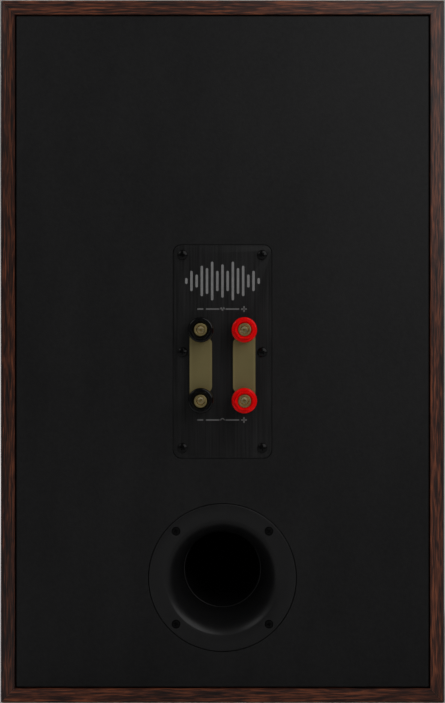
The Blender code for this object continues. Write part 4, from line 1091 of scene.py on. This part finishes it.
def counterbore(places):
    """Cutters for the seats of the driver screws."""
    seat, top, head, shank, depth, chamfer = -0.0025, 0.002, 0.0038, 0.0022, -0.0075, 0.00015
    profile = [(0, top), (head + top, top), (head + chamfer, 0.0), (head, -chamfer)]
    profile += [(head, seat), (shank, seat), (shank, depth), (0, depth)]
    return bores(places, profile, FRONT_Y, -1)


def add_woofer_frame():
    """The cast frame: flange, ledge for the surround, basket with six windows and the seat of the motor."""
    ledge = -0.00605
    profile = fillet(
        [
            (0.0803, 0, 0.0003), (0.0920, 0, 0.0006), (0.0920, -0.0047, 0.0003),
            (0.0810, -0.0047, 0.0004), (0.0810, -0.0095, 0.002), (0.0510, -0.0460, 0.002),
            (0.0510, -0.0497, 0.0006), (0.0220, -0.0497, 0.0003), (0.0220, -0.0467, 0.0003),
            (0.0430, -0.0467, 0.0004), (0.0430, -0.0415, 0.0003), (0.0490, -0.0415, 0.0006),
            (0.0775, -0.0105, 0.001), (0.0736, -0.0090, 0.0002), (0.0736, ledge, 0.0002),
            (0.0795, ledge, 0.0002), (0.0795, -0.0008, 0.0002),
        ]
    )
    tools = counterbore(ring_places(WOOFER, WOOFER_SCREW_CIRCLE))
    for k in range(6):
        window = block(f"window_{k}", (0.053, -0.0105, -0.018), (0.103, 0.0105, 0.018), 0.004, 4)
        turn = Matrix.Rotation(2 * math.pi * k / 6, 4, "Y")
        window.transform(Matrix.Translation((0, FRONT_Y + 0.0250, WOOFER.z)) @ turn)
        tools.append(window)
    mesh = carved(lathe("woofer_frame_cast", profile, WOOFER, FRONT_Y, -1, 160), tools)
    put("woofer_frame_cast", mesh, "driver_frame_black", "cabinet", ("woofer_frame",))


def add_cone():
    """The paper cone with three shallow ribs, and its dust cap."""
    steps = 40
    line = []
    for k in range(steps + 1):
        share = k / steps
        radius = 0.0200 + 0.0420 * share
        rib = 0.0
        for centre in (0.42, 0.60, 0.78):
            rib += 0.00022 * math.exp(-(((share - centre) / 0.018) ** 2))
        line.append((radius, -0.0300 + 0.0242 * share**1.15 - rib))
    body, look_name = "woofer_moving", "cone_black"
    sheet = thick_sheet(line, 0.0011)
    turned("woofer_cone_paper", sheet, WOOFER, -1, 128, look_name, body, "woofer_cone", 60)
    cap = thick_sheet(dome_line(0.0220, 0.0080, -0.0275, 20), 0.0007)
    cap = [(0, cap[0][1]), *cap[1:-1], (0, cap[-1][1])]
    turned("woofer_cap_dome", cap, WOOFER, -1, 96, look_name, body, "woofer_dust_cap", 50, False)


def add_wedges(kind, node, line, thickness, slot, count):
    """A ring between the cabinet and the cone, in wedges."""
    section = thick_sheet(line, thickness)
    step = 2 * math.pi / count
    for k in range(count):
        name = f"{kind}_{k + 1:02d}"
        mesh = lathe(name, section, WOOFER, FRONT_Y, -1, 6, start=step * (k - 0.5), sweep=step)
        piece = put(name, mesh, slot, None, (node,), angle=70)
        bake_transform(piece)


def add_suspension():
    """The rubber half roll round the cone, and the corrugated spider behind it."""
    middle_radius, roll, level = 0.0678, 0.0055, -0.0054
    line = []
    for k in range(25):
        turn = math.pi * (1 - k / 24)
        line.append((middle_radius + roll * math.cos(turn), level + roll * math.sin(turn)))
    line += [(radius, level) for radius in (0.0745, 0.0765, 0.0791)]
    add_wedges("woofer_roll", "woofer_surround", line, 0.0007, "surround_rubber", 24)
    inner, outer, level, waves = 0.0199, 0.0420, -0.0408, 6
    line = []
    steps = 60
    for k in range(steps + 1):
        share = k / steps
        fade = min(1.0, 6 * share, 6 * (1 - share))
        fold = 0.0011 * fade * math.sin(math.pi * waves * share)
        line.append((inner + (outer - inner) * share, level - fold))
    line.append((0.0485, level))
    add_wedges("woofer_spider_web", "woofer_spider", line, 0.0006, "spider_cloth", 16)


# ---------------------------------------------------------------- tweeter


def add_tweeter():
    """The faceplate with its shallow horn, and the silk dome with its roll."""
    profile = fillet(
        [
            (0.0340, 0, 0.02), (0.0520, 0, 0.0006), (0.0520, -0.0050, 0.0002), (0.0173, -0.0050),
            (0.0173, -0.0036, 0.0002), (0.0205, -0.0023, 0.008), (0.0260, -0.0009, 0.02),
        ],
        steps=6,
    )
    tools = counterbore(ring_places(TWEETER, TWEETER_SCREW_CIRCLE))
    mesh = carved(lathe("tweeter_faceplate_moulding", profile, TWEETER, FRONT_Y, -1, 160), tools)
    put("tweeter_faceplate_moulding", mesh, "driver_frame_black", "cabinet", ("tweeter_faceplate",))

    half, base, roll = 0.0003, -0.0060, 0.0015
    centre = 0.0130 + half + roll
    outside = dome_line(0.0133, 0.0050, base + half, 24)
    inside = dome_line(0.0127, 0.0047, base - half, 24)

    def over(radius, start, end, steps=14):
        turns = [math.radians(start + (end - start) * k / steps) for k in range(steps + 1)]
        return [(centre + radius * math.cos(t), base + radius * math.sin(t)) for t in turns]

    rim, skirt = 0.0174, -0.0105
    profile = [*outside[:-1], *over(roll + half, 150, 30), (rim, base + half), (rim, base - half)]
    profile += [(centre + roll - half, base - half), *over(roll - half, 0, 180), (0.0133, base - half)]
    profile += [(0.0133, skirt), (0.0127, skirt), *reversed(inside)]
    look_name, body = "dome_silk", "tweeter_moving"
    turned("tweeter_silk_dome", profile, TWEETER, -1, 96, look_name, body, "tweeter_dome", 60, False)


# ---------------------------------------------------------------- pieces that keep their CAD shape

INSIDE = {
    "cabinet_brace": "raw_board",
    "woofer_voice_coil": "coil_former",
    "woofer_top_plate": "motor_steel",
    "woofer_magnet": "ferrite",
    "woofer_pole_piece": "motor_steel",
    "tweeter_motor": "ferrite",
    "crossover_board": "circuit_board",
    "crossover_inductor": "copper_winding",
    "crossover_capacitor": "capacitor_film",
    "crossover_resistor": "ceramic",
    "damping_foam_top": "damping_foam",
    "damping_foam_bottom": "damping_foam",
}


def dress_inside():
    """Procedural materials for the pieces inside the cabinet."""
    for node, slot in INSIDE.items():
        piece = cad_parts[node]
        if not piece.data.materials:
            piece.data.materials.append(LOOKS[slot])
        for holder in piece.material_slots:
            holder.material = LOOKS[slot]


add_camera()
add_stage()
for light in LIGHTS:
    add_softbox(*light)

add_boards()
add_rear_panel()
add_baffle()
add_port()
add_plate()
add_marks()
for place in PLACES:
    add_core(place)
    add_washer(place)
    add_knob(place)
add_straps()
add_woofer_frame()
add_cone()
add_suspension()
add_tweeter()
add_all_screws()
dress_inside()
